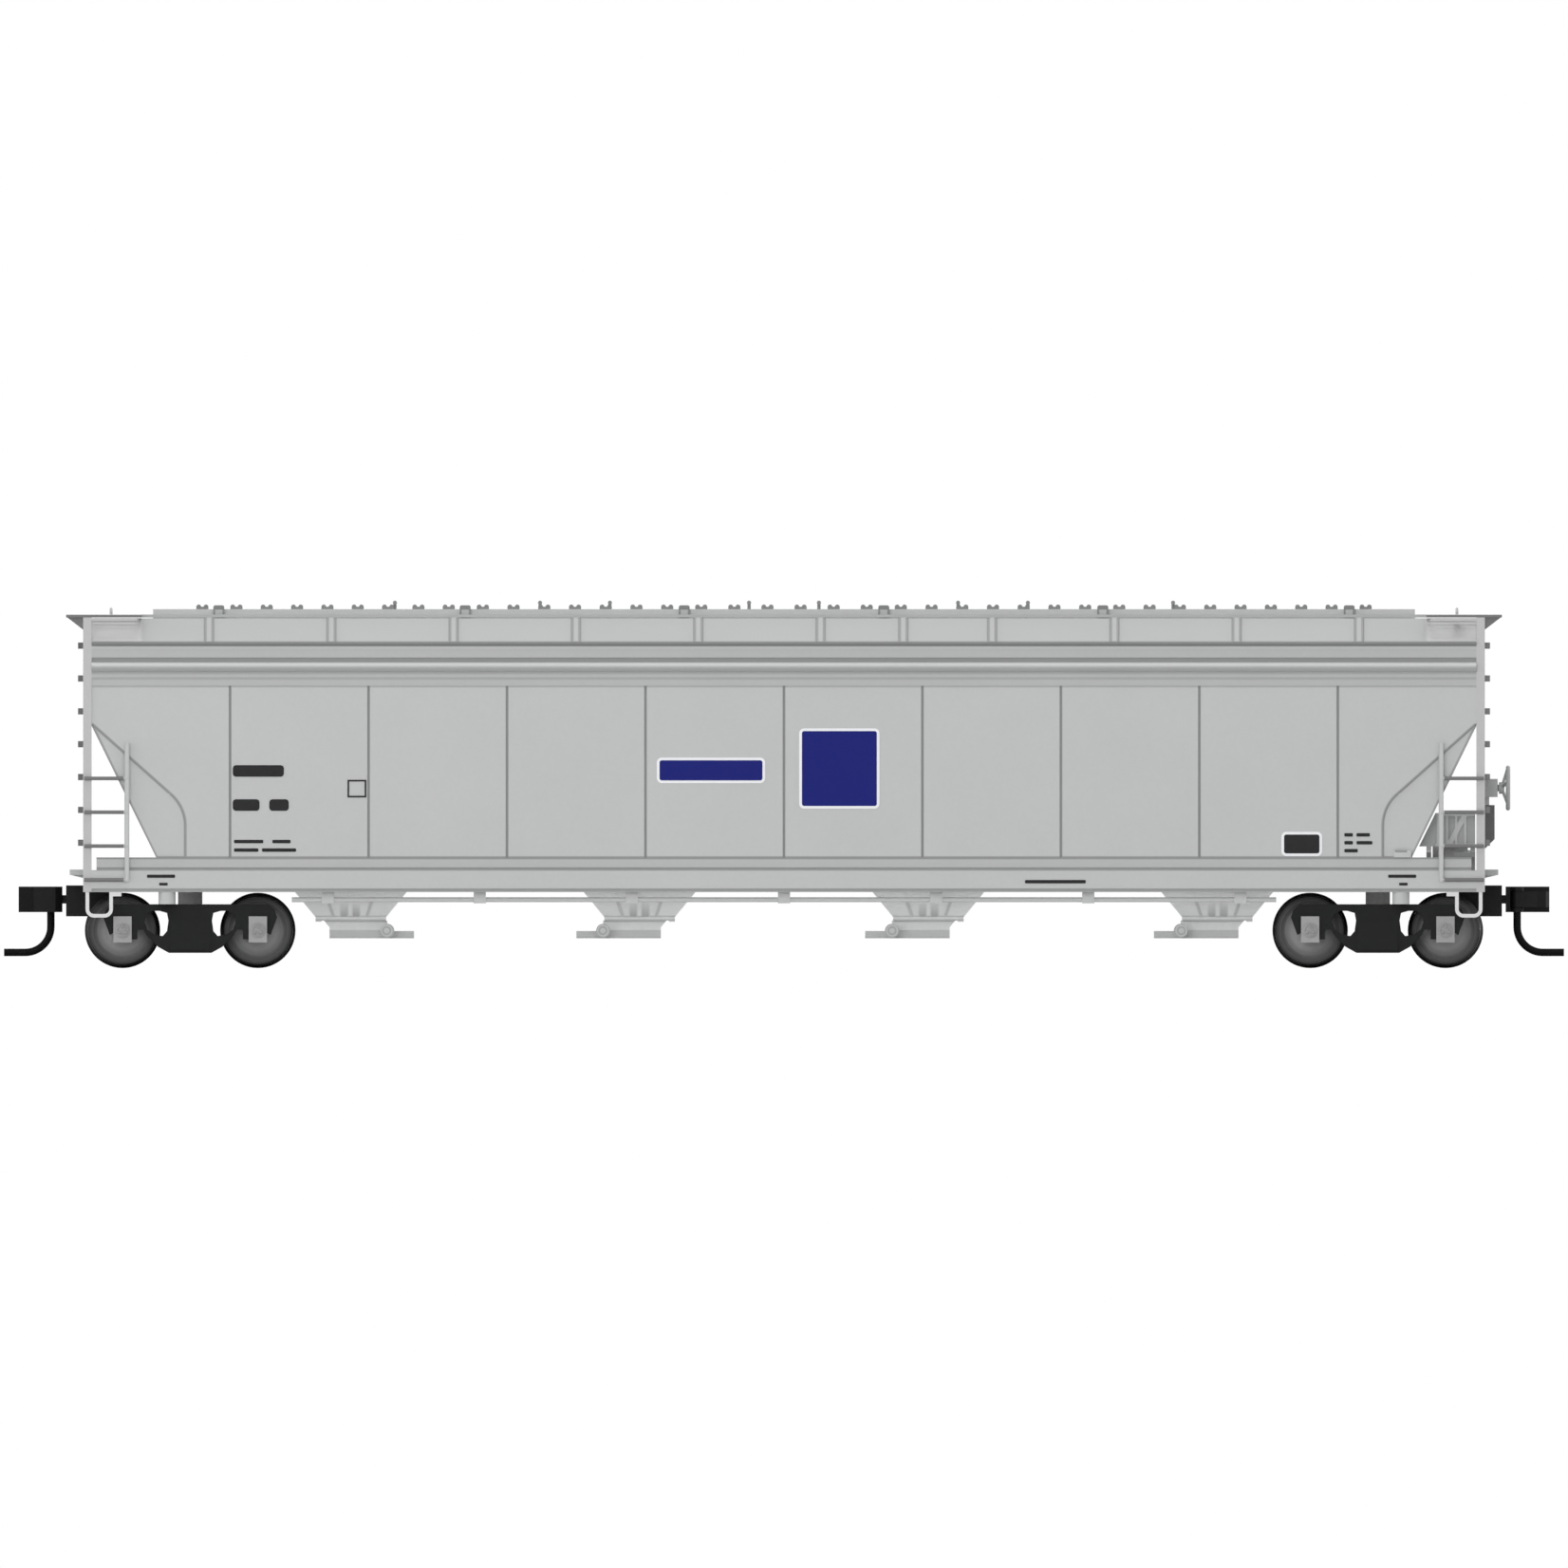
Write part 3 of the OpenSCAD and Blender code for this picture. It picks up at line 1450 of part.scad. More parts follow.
// Block between the jaws of a side frame, bored for the journal, with a round cap outside
module bearing_adapter() {
    cap_t = 0.12;
    y1 = frame_y1 + bearing_proud;
    bore_l = journal_l + face_gap;
    difference() {
        union() {
            block(
                [-bearing_w / 2, bearing_w / 2],
                [frame_y0, y1],
                [axle_z - bearing_drop, axle_z + bearing_rise]
            );
            rod_y([0, y1, axle_z], cap_t, bearing_w * 0.75);
        }
        rod_y([0, frame_y0 - CUT, axle_z], bore_l + CUT, journal_d + 2 * run_fit);
    }
}

module bearing_adapters(e) {
    color(DETAIL_GREY)
        at_end(e)
            for (x = [-half_base, half_base])
                translate([truck_x + x, 0, 0])
                    both_sides()
                        bearing_adapter();
}

// Axles are numbered from end a: two under each truck
function axle_x(i) = (i < 3 ? -truck_x : truck_x) + (i % 2 == 1 ? -half_base : half_base);

module axle(i) {
    color(STEEL)
        translate([axle_x(i), 0, axle_z]) {
            rod_y([0, -axle_y, 0], 2 * axle_y, axle_d);
            rod_y([0, -axle_y - journal_l, 0], 2 * (axle_y + journal_l), journal_d);
        }
}

// Section of a wheel from its back face, radius first
function wheel_section() =
    let (tip = flange_d / 2, root = tip - flange_depth, rim = root - 0.5, hub = hub_d / 2)
    [
        [axle_d / 2, 0.1], [hub, 0.1], [hub + 0.15, 0.65], [rim - 0.1, 0.55], [rim, 0],
        [tip - 0.25, 0], [tip, 0.2], [tip, 0.34], [root, 0.6], [root - 0.05, wheel_t - 0.1],
        [root - 0.15, wheel_t], [rim, wheel_t], [rim - 0.3, wheel_t - 0.15], [hub + 0.3, wheel_t - 0.15],
        [hub, wheel_t - 0.1], [axle_d / 2, wheel_t - 0.1]
    ];

module wheels(i) {
    color(WHEEL_GREY)
        translate([axle_x(i), 0, axle_z])
            both_sides()
                translate([0, wheel_y, 0])
                    rotate([-90, 0, 0])
                        rotate_extrude($fn = 96)
                            polygon(wheel_section());
}

body_shell();
roof();
for (i = [1:5])
    hatch_cover(i);
for (side = ["left", "right"])
    running_board(side);
corner_posts();
end_sills();
side_ladders();
crossover_platforms();
sill_steps();
underframe();
weight();
brake_pipe();
air_reservoir();
control_valve();
brake_cylinder();
equipment_bracket();
brake_stand();
brake_wheel();
draft_lids();
coupler_screws();
truck_screws();
centring_springs();
for (e = ENDS) {
    end_walk(e);
    end_ladder(e);
    draft_box(e);
    coupler(e);
    knuckle(e);
    trip_pin(e);
    truck_frame(e);
    bearing_adapters(e);
}
for (i = [1:4]) {
    hopper_bay(i);
    outlet_gate(i);
    axle(i);
    wheels(i);
}
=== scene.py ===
"""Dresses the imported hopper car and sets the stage.

The moulded pieces get their finishes, and small fittings and plain printed panels are added to them.
"""

import math

import bmesh
import bpy
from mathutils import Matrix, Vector


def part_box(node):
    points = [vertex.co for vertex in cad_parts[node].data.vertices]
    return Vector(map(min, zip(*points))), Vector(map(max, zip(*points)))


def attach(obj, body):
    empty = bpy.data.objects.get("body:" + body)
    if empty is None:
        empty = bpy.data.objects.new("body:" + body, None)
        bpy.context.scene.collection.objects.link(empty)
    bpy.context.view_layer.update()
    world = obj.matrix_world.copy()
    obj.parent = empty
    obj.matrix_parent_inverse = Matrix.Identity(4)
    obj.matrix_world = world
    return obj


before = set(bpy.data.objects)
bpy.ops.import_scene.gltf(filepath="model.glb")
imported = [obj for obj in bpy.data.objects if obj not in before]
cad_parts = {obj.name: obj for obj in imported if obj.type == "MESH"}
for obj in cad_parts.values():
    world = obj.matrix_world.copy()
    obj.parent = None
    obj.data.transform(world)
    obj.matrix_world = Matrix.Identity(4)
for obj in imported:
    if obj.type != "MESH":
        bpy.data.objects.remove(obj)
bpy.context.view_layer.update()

bl_info = {
    "name": "Hopper car dressing",
    "version": (1, 0, 0),
    "blender": (4, 5, 0),
    "location": "3D View > Sidebar > Hopper car",
    "description": "Finishes, fittings, printed panels and stage for a model hopper car",
    "category": "Object",
}

MM = 0.001
SIDES = ("right", "left")

# Places on the car in millimetres: along it and across it from its middle, and up from the rails

CAR_TOP = 31.0
COVER_TOP = 29.5
STRAP_TOP = (29.46, 30.0)
WALK_TOP = 29.02
TROUGH_FOOT = 28.76
RIB_UP = (26.6, 28.8)
ROOF_END_FOOT = 26.8
SKIN_TOP = 23.2
SILL_TOP = 9.1
SIDE_OUT = 9.6
SKIN_FACE = 9.85
WEB_FACE = 9.95
SKIN_FOOT_X = 49.2
SKIN_BOW_MIDDLE = (52.66, 11.7)
SKIN_BOW_R = 3.46
SKIN_BOW_REACH = 50.5
SKIN_BOW_END = (50.436, 14.35)
SKIN_CORNER = (56.9, 20.1)
SLOPE_FOOT = (51.6, SILL_TOP)
SLOPE_HEAD = (56.85, 19.9)
RIB_HALF = 0.3
RIB_FIRST = 17.1
RIB_PITCH = 10.05
MIDDLE_RIBS = (-7.05, 3.0, 9.8)
WALK_SHADE_X = 52.65
STILE_EDGES = (53.8, 54.22)
STILE_OUT = 54.27
STRAPS = (8.2, 26.2, 46.45)
GUARD_UP, GUARD_ALONG = (9.7, 13.42), (57.62, 60.0)
LEDGE_ALONG = (50.2, 51.2)
LEDGE_EDGE_UP = (9.5, 10.0)
PLATE_UP, PLATE_ACROSS = (5.0, 6.75), (-1.0, 1.6)
FIELD_UP, FIELD_ACROSS = (9.7, 14.0), (-8.6, -8.4)
TREAD_UP = (SILL_TOP, 9.52)
BAY_PITCH = 23.77
BAY_RIB_UP = (4.2, 5.6)
SHAFT_RUN, SHAFT_UP = 3.0, 3.08
SHAFT_END = (5.4, 7.0)
RAIL_UP = (2.0, 3.05)

# Level lines of painted shade in a finish, and of a painted highlight in BEAD_LINES: height, half width and
# strength

SIDE_LINES = (
    (26.62, 0.24, 0.75),
    (25.34, 0.27, 0.58),
    (24.44, 0.42, 0.4),
    (23.82, 0.16, 0.3),
    (23.15, 0.12, 0.25),
    (9.06, 0.17, 0.6),
    (8.16, 0.22, 0.34),
    (6.4, 0.2, 0.45),
)
BEAD_LINES = ((24.98, 0.16, 0.3),)
EAVE_LINES = ((26.66, 0.24, 0.75),)
STRAP_LINES = ((28.84, 0.16, 0.6),)
BAY_LINES = ((4.24, 0.1, 0.3),)
GATE_LINES = ((3.94, 0.1, 0.35), (3.06, 0.1, 0.3), (2.52, 0.14, 0.4))

# Level bands of painted shade on the sides: lower and upper edge

SIDE_SHADES = ((25.55, 26.25), (SKIN_TOP, 24.3), (8.3, 8.95))

# Rings on a gate's shaft end: radius, half width and strength

SHAFT_RINGS = ((0.3, 0.12, 0.55), (0.56, 0.12, 0.5))

# From a wheel's hub to its tread, partly painted shade: share of the radius, and share of the way from one
# colour to the other

WHEEL_STOPS = ((0.25, 0.0), (0.5, 0.25), (0.6, 0.52), (0.7, 0.65), (0.81, 0.85), (0.93, 1.0))

# How many pitches out from the middle the seams go, and the grain of the bearings and their caps

SEAMS_OUT = 4.5
BEARING_GRAIN = 5200.0


def grey(level):
    """Linear value of a grey given as 0 to 255 on screen."""
    share = level / 255
    return share / 12.92 if share <= 0.04045 else ((share + 0.055) / 1.055) ** 2.4


def paint(red, green, blue):
    """Linear colour from a screen colour."""
    return grey(red), grey(green), grey(blue)


def colour_property(name, description, default):
    return bpy.props.FloatVectorProperty(
        name=name, description=description, default=default, subtype="COLOR", size=3, min=0, max=1
    )


def length_property(name, description, default):
    return bpy.props.FloatProperty(
        name=name,
        description=description,
        default=default,
        unit="LENGTH",
        subtype="DISTANCE",
        min=0,
        precision=6,
    )


class HopperColours(bpy.types.PropertyGroup):
    """Colours of the finishes"""

    body: colour_property("Body", "Grey of the moulded body and roof", paint(190, 191, 191))
    detail: colour_property("Detail", "Grey of the covers, boards and brake gear", paint(184, 185, 185))
    # The bays' and gates' greys are raised as painted light, making up for the shade under the deck.
    bay: colour_property("Bay", "Pale grey of the hopper bays", paint(250, 251, 251))
    gate: colour_property("Gate", "Grey of the outlet gates", paint(226, 227, 227))
    post: colour_property("Post", "Pale grey of the corner posts", paint(189, 189, 189))
    # Pale is the sill steps' near white, and also painted light under the end walks, on the trough's sides,
    # on the bead and on the centre plates.
    pale: colour_property("Pale", "Near white of the sill steps and lightened places", paint(232, 232, 232))
    # Dark is also painted shade on the ladders' rungs.
    dark: colour_property("Dark", "Dark grey of the rungs, end walks and chain guard", paint(116, 116, 116))
    # The shade and mark colour is painted shade in seams, grooves, hollows and on edges, and the dark of the
    # latches.
    shade_and_mark: colour_property("Wash", "Dark wash in seams and grooves", paint(98, 99, 99))
    truck: colour_property("Truck", "Black of the truck frames", paint(24, 25, 25))
    coupler: colour_property("Coupler", "Black of the couplers and draft boxes", paint(17, 17, 17))
    tread: colour_property("Tread", "Black of the wheels' treads and flanges", paint(14, 14, 14))
    # The wheels' grey is raised as painted light against the shade of the truck frames.
    wheel: colour_property("Wheel", "Grey of the wheel faces near the hub", paint(172, 172, 172))
    bearing: colour_property("Bearing", "Light grey of the bearing adapters", paint(166, 166, 166))
    steel: colour_property("Steel", "Bare steel of axles, screws and weight", paint(150, 150, 152))
    bronze: colour_property("Bronze", "Bronze of the centring springs", paint(172, 134, 82))
    print_blue: colour_property("Print blue", "Dark blue of the printed panels", paint(25, 32, 114))
    print_white: colour_property("Print white", "White edge of the printed panels", paint(236, 237, 240))
    print_black: colour_property("Print black", "Black of the printed bars", paint(24, 24, 26))
    floor: colour_property("Floor", "Pale floor", paint(232, 232, 232))


class HopperSizes(bpy.types.PropertyGroup):
    """Sizes of the fittings and the print"""

    seam_pitch: length_property("Seam pitch", "Spacing of the seams in the sides", 11.38 * MM)
    # Half the width of the painted shade along a seam's groove
    seam_shade_half: length_property("Wash width", "Half the width of the wash along a seam", 0.13 * MM)
    print_t: length_property("Print thickness", "How far the print stands off the sides", 0.03 * MM)
    print_edge: length_property("Print edge", "Width of the white edge round a printed panel", 0.22 * MM)
    strap_w: length_property("Strap width", "Width of a strap over a joint between hatch covers", 0.9 * MM)
    cap_r: length_property("Cap radius", "Radius of a bearing's end cap", 0.6 * MM)
    bolt_r: length_property("Bolt radius", "Radius of a bearing cap's bolts", 0.13 * MM)
    view_w: length_property("View width", "Width of the camera's view", 128.86 * MM)
    view_z: length_property("View height", "Height of the middle of the camera's view", 15.13 * MM)


def colours():
    return bpy.context.scene.hopper_colours


def sizes():
    return bpy.context.scene.hopper_sizes


def toned(colour, share):
    """A colour made darker, or paler where the share is above one."""
    return [share * part for part in colour]


# Shader helpers


def add_node(tree, kind, **settings):
    node = tree.nodes.new(kind)
    for key, value in settings.items():
        setattr(node, key, value)
    return node


def feed(tree, value, socket):
    """Links a socket's output, or sets a plain value."""
    if isinstance(value, bpy.types.NodeSocket):
        tree.links.new(value, socket)
    else:
        socket.default_value = value


def calc(tree, operation, first, second=0.0, clamp=False):
    node = add_node(tree, "ShaderNodeMath", operation=operation, use_clamp=clamp)
    feed(tree, first, node.inputs[0])
    feed(tree, second, node.inputs[1])
    return node.outputs[0]


def times(tree, *values):
    total = values[0]
    for value in values[1:]:
        total = calc(tree, "MULTIPLY", total, value)
    return total


def strongest(tree, masks):
    total = masks[0]
    for mask in masks[1:]:
        total = calc(tree, "MAXIMUM", total, mask)
    return total


def overlap(tree, *masks, strength):
    """Mask where all the given masks overlap, at a strength."""
    return times(tree, *masks, strength)


def distance(tree, run, rise):
    """Straight distance over a run and a rise."""
    return calc(tree, "SQRT", calc(tree, "ADD", times(tree, run, run), times(tree, rise, rise)))


def blend_colour(tree, mode, factor, first, second):
    node = add_node(tree, "ShaderNodeMix", data_type="RGBA", blend_type=mode)
    feed(tree, factor, node.inputs["Factor"])
    feed(tree, first, node.inputs[6])
    feed(tree, second, node.inputs[7])
    return node.outputs[2]


def rgba(colour):
    return (*colour, 1.0)


def place(tree):
    """Object coordinates along the car, across it and up."""
    point = add_node(tree, "ShaderNodeTexCoord").outputs["Object"]
    split = add_node(tree, "ShaderNodeSeparateXYZ")
    tree.links.new(point, split.inputs[0])
    return split.outputs[0], split.outputs[1], split.outputs[2]


def new_group(name, inputs, outputs):
    tree = bpy.data.node_groups.new(name, "ShaderNodeTree")
    for title, kind in inputs:
        tree.interface.new_socket(title, in_out="INPUT", socket_type=kind)
    for title, kind in outputs:
        tree.interface.new_socket(title, in_out="OUTPUT", socket_type=kind)
    return tree, add_node(tree, "NodeGroupInput"), add_node(tree, "NodeGroupOutput")


def use_group(tree, name, **values):
    node = add_node(tree, "ShaderNodeGroup", node_tree=bpy.data.node_groups[name])
    for title, value in values.items():
        feed(tree, value, node.inputs[title.replace("_", " ").title()])
    return node


def make_grain_group():
    """Mottle of moulded or painted plastic: a tone near one and a height."""
    tree, start, end = new_group(
        "moulded_grain",
        [("Scale", "NodeSocketFloat"), ("Depth", "NodeSocketFloat")],
        [("Tone", "NodeSocketFloat"), ("Height", "NodeSocketFloat")],
    )
    point = add_node(tree, "ShaderNodeTexCoord").outputs["Object"]
    fine = add_node(tree, "ShaderNodeTexNoise")
    broad = add_node(tree, "ShaderNodeTexNoise")
    for noise, share in ((fine, 1.0), (broad, 0.06)):
        tree.links.new(point, noise.inputs["Vector"])
        tree.links.new(calc(tree, "MULTIPLY", start.outputs["Scale"], share), noise.inputs["Scale"])
        noise.inputs["Detail"].default_value = 3
    mixed = calc(tree, "ADD", fine.outputs[0], broad.outputs[0])
    swing = calc(tree, "MULTIPLY", calc(tree, "SUBTRACT", mixed, 1.0), start.outputs["Depth"])
    tree.links.new(calc(tree, "ADD", swing, 1.0), end.inputs["Tone"])
    tree.links.new(fine.outputs[0], end.inputs["Height"])


def make_light_and_shade_line_group():
    """Mask that is one on a line where a value is near its centre, for lines of painted shade and painted
    highlight.
    """
    tree, start, end = new_group(
        "light_and_shade_line",
        [("Value", "NodeSocketFloat"), ("Centre", "NodeSocketFloat"), ("Half Width", "NodeSocketFloat")],
        [("Mask", "NodeSocketFloat")],
    )
    away = calc(tree, "ABSOLUTE", calc(tree, "SUBTRACT", start.outputs["Value"], start.outputs["Centre"]))
    inside = calc(tree, "SUBTRACT", 1.0, calc(tree, "DIVIDE", away, start.outputs["Half Width"]), clamp=True)
    tree.links.new(calc(tree, "MULTIPLY", inside, 2.0, clamp=True), end.inputs["Mask"])


def make_radius_group():
    """Distance from an axle's line."""
    tree, start, end = new_group(
        "axle_radius",
        [("Centre X", "NodeSocketFloat"), ("Centre Z", "NodeSocketFloat")],
        [("Radius", "NodeSocketFloat")],
    )
    along, _, up = place(tree)
    run = calc(tree, "SUBTRACT", along, start.outputs["Centre X"])
    rise = calc(tree, "SUBTRACT", up, start.outputs["Centre Z"])
    tree.links.new(distance(tree, run, rise), end.inputs["Radius"])


def make_groups():
    make_grain_group()
    make_light_and_shade_line_group()
    make_radius_group()


def new_material(name):
    material = bpy.data.materials.new(name)
    material.use_nodes = True
    tree = material.node_tree
    return material, tree, tree.nodes["Principled BSDF"]


def finish_surface(tree, shader, colour, grain, rough, bump):
    """Colour with its mottle, and roughness and bump from the same grain."""
    tone = grain.outputs["Tone"]
    tree.links.new(blend_colour(tree, "MULTIPLY", 1.0, colour, tone), shader.inputs["Base Color"])
    swing = 0.25
    spread = calc(tree, "MULTIPLY", calc(tree, "SUBTRACT", grain.outputs["Height"], 0.5), swing)
    tree.links.new(calc(tree, "ADD", spread, rough, clamp=True), shader.inputs["Roughness"])
    relief = add_node(tree, "ShaderNodeBump")
    relief.inputs["Strength"].default_value = bump
    relief.inputs["Distance"].default_value = 0.02 * MM
    tree.links.new(grain.outputs["Height"], relief.inputs["Height"])
    tree.links.new(relief.outputs[0], shader.inputs["Normal"])


def painted(
    name, colour, rough=0.6, depth=0.06, bump=0.15, gloss=0.3, scale=2600.0, shade_and_mark=None, dark=None, light=None
):
    """Painted plastic.

    Shade and mark makes the mask of a second colour, dark where that is given: painted shade and painted
    light on some pieces, real marks on others. Light makes the mask of painted light in the pale colour.
    """
    material, tree, shader = new_material(name)
    grain = use_group(tree, "moulded_grain", scale=scale, depth=depth)
    base = rgba(colour)
    if light is not None:
        base = blend_colour(tree, "MIX", light(tree), base, rgba(colours().pale))
    if shade_and_mark is not None:
        base = blend_colour(tree, "MIX", shade_and_mark(tree), base, rgba(dark or colours().shade_and_mark))
    finish_surface(tree, shader, base, grain, rough, bump)
    shader.inputs["Specular IOR Level"].default_value = gloss
    return material


def metal(name, colour, rough=0.35, depth=0.1, scale=4200.0):
    material, tree, shader = new_material(name)
    grain = use_group(tree, "moulded_grain", scale=scale, depth=depth)
    finish_surface(tree, shader, rgba(colour), grain, rough, bump=0.2)
    shader.inputs["Metallic"].default_value = 1.0
    return material


def line_mask(tree, value, centre, half):
    """Mask along a line, with the middle and half the width given in millimetres."""
    return use_group(tree, "light_and_shade_line", value=value, centre=centre * MM, half_width=half * MM).outputs[0]


def level_lines(tree, up, lines):
    """Masks of level lines, each a height, a half width and a strength."""
    return [times(tree, line_mask(tree, up, height, half), strength) for height, half, strength in lines]


def band(tree, value, low, high):
    """Mask that is one between two values, given in millimetres."""
    above = calc(tree, "GREATER_THAN", value, low * MM)
    return calc(tree, "MULTIPLY", above, calc(tree, "LESS_THAN", value, high * MM))


def sloping_line(tree, out, up, start, end, half, strength):
    """Mask along a straight line between two points of the side."""
    way = Vector(end) - Vector(start)
    way.normalize()
    run = calc(tree, "MULTIPLY", calc(tree, "SUBTRACT", out, start[0] * MM), way.y)
    rise = calc(tree, "MULTIPLY", calc(tree, "SUBTRACT", up, start[1] * MM), way.x)
    line = line_mask(tree, calc(tree, "SUBTRACT", run, rise), 0.0, half)
    return times(tree, line, band(tree, up, start[1], end[1]), strength)


def skin_edge(tree, out, up):
    """Painted shade along the line where the side skin ends: upright at its foot, round, then sloping up to
    the corner.
    """
    half, strength = 0.16, 0.5
    middle_x, middle_z = SKIN_BOW_MIDDLE
    foot = line_mask(tree, out, SKIN_FOOT_X, half)
    foot = times(tree, foot, band(tree, up, SILL_TOP, middle_z), strength)
    run = calc(tree, "SUBTRACT", out, middle_x * MM)
    rise = calc(tree, "SUBTRACT", up, middle_z * MM)
    bow = line_mask(tree, distance(tree, run, rise), SKIN_BOW_R, half)
    inward = calc(tree, "LESS_THAN", out, SKIN_BOW_REACH * MM)
    bow = times(tree, bow, band(tree, up, middle_z, SKIN_BOW_END[1]), inward, strength)
    return [foot, bow, sloping_line(tree, out, up, SKIN_BOW_END, SKIN_CORNER, half, strength)]


def side_painted_shade(tree):
    """Painted shade in the seams between the side panels, on the lines and bands of the top chord and the
    side sill, and along the skin's edges.
    """
    along, across, up = place(tree)
    pitch = sizes().seam_pitch
    turns = calc(tree, "DIVIDE", along, pitch)
    from_seam = calc(tree, "MULTIPLY", calc(tree, "SUBTRACT", turns, calc(tree, "ROUND", turns)), pitch)
    seam = line_mask(tree, from_seam, 0.0, sizes().seam_shade_half / MM)
    out = calc(tree, "ABSOLUTE", along)
    reach = calc(tree, "LESS_THAN", out, SEAMS_OUT * pitch)
    masks = [overlap(tree, seam, reach, band(tree, up, SILL_TOP, SKIN_TOP), strength=0.6)]
    masks.append(sloping_line(tree, out, up, SLOPE_FOOT, SLOPE_HEAD, half=0.2, strength=0.5))
    masks += level_lines(tree, up, SIDE_LINES)
    masks += [overlap(tree, band(tree, up, low, high), strength=0.15) for low, high in SIDE_SHADES]
    masks += skin_edge(tree, out, up)
    outside = calc(tree, "GREATER_THAN", calc(tree, "ABSOLUTE", across), SIDE_OUT * MM)
    return times(tree, strongest(tree, masks), outside)


def cover_wash(tree):
    """Dark lugs, handles and latches that stand above the covers."""
    _, _, up = place(tree)
    return overlap(tree, band(tree, up, COVER_TOP, CAR_TOP), strength=0.7)


def roof_shade_and_latches(tree):
    """Painted shade on the edges of the roof's ribs and on a line along its eaves, and the dark latches past
    the covers.
    """
    along, _, up = place(tree)
    out = calc(tree, "SUBTRACT", calc(tree, "ABSOLUTE", along), RIB_FIRST * MM)
    steps = calc(tree, "MAXIMUM", calc(tree, "ROUND", calc(tree, "DIVIDE", out, RIB_PITCH * MM)), 0.0)
    gaps = [calc(tree, "SUBTRACT", out, calc(tree, "MULTIPLY", steps, RIB_PITCH * MM))]
    gaps += [calc(tree, "SUBTRACT", along, x * MM) for x in MIDDLE_RIBS]
    masks = []
    for gap in gaps:
        edge = line_mask(tree, calc(tree, "ABSOLUTE", gap), RIB_HALF, half=0.16)
        masks.append(overlap(tree, edge, band(tree, up, *RIB_UP), strength=0.45))
    return strongest(tree, [*masks, *level_lines(tree, up, EAVE_LINES), cover_wash(tree)])


def roof_painted_light(tree):
    """Painted light in the pale colour under the end walks, stronger higher up, and on the trough's sides,
    where shade falls.
    """
    fade, low, depth = 0.3 * MM, 25.5 * MM, 2.9 * MM
    along, _, up = place(tree)
    out = calc(tree, "SUBTRACT", calc(tree, "ABSOLUTE", along), WALK_SHADE_X * MM)
    ends = times(
        tree,
        calc(tree, "DIVIDE", out, fade, clamp=True),
        calc(tree, "DIVIDE", calc(tree, "SUBTRACT", up, low), depth, clamp=True),
        band(tree, up, ROOF_END_FOOT, TROUGH_FOOT),
    )
    return strongest(tree, [ends, overlap(tree, band(tree, up, TROUGH_FOOT, COVER_TOP), strength=0.3)])


def bead_painted_highlight(tree):
    """Painted highlight on the upper edge of the bead along the top chord."""
    _, _, up = place(tree)
    return strongest(tree, level_lines(tree, up, BEAD_LINES))


def strap_shade_and_tops(tree):
    """Painted shade on the edges of the straps between the covers and on a line near their feet, and their
    darker tops.
    """
    along, _, up = place(tree)
    out = calc(tree, "ABSOLUTE", along)
    edge_at, edge_half = 0.4, 0.14
    masks = [overlap(tree, band(tree, up, *STRAP_TOP), strength=0.7)]
    for x in STRAPS:
        aside = calc(tree, "ABSOLUTE", calc(tree, "SUBTRACT", out, x * MM))
        masks.append(overlap(tree, line_mask(tree, aside, edge_at, edge_half), strength=0.6))
    return strongest(tree, masks + level_lines(tree, up, STRAP_LINES))


def rung_painted_shade(tree):
    """Painted shade: the side ladders' rungs painted dark, and lines on the edges of their stiles."""
    along, _, _ = place(tree)
    out = calc(tree, "ABSOLUTE", along)
    edges = [overlap(tree, line_mask(tree, out, x, half=0.12), strength=0.25) for x in STILE_EDGES]
    return strongest(tree, [calc(tree, "GREATER_THAN", out, STILE_OUT * MM), *edges])


def guard_mask(tree):
    """The chain guard below the brake wheel's housing."""
    along, _, up = place(tree)
    return times(tree, band(tree, up, *GUARD_UP), band(tree, along, *GUARD_ALONG))


def hoop_mask(tree):
    """The grab irons above the end walks."""
    _, _, up = place(tree)
    return band(tree, up, WALK_TOP, CAR_TOP)


def ledge_wash(tree):
    """Dark upper edge of a sill ledge."""
    along, _, up = place(tree)
    return overlap(tree, band(tree, up, *LEDGE_EDGE_UP), band(tree, along, *LEDGE_ALONG), strength=0.6)


def centre_plate_light(tree):
    """The centre plates under the deck, painted pale as painted light against the deep shade there."""
    _, across, up = place(tree)
    aside = calc(tree, "ABSOLUTE", across)
    return times(tree, band(tree, up, *PLATE_UP), band(tree, aside, *PLATE_ACROSS))


def panel_shade_and_tread(tree):
    """Painted shade in the sunk fields of the ribbed panel, and the darker barred tread under it."""
    _, across, up = place(tree)
    field = overlap(tree, band(tree, across, *FIELD_ACROSS), band(tree, up, *FIELD_UP), strength=0.32)
    return strongest(tree, [field, overlap(tree, band(tree, up, *TREAD_UP), strength=0.8)])


def from_bay(tree, along):
    """Place along the car, measured from the middle of the bay it belongs to."""
    pitch = BAY_PITCH * MM
    cell = calc(tree, "FLOOR", calc(tree, "DIVIDE", along, pitch))
    return calc(tree, "SUBTRACT", along, calc(tree, "MULTIPLY", calc(tree, "ADD", cell, 0.5), pitch))


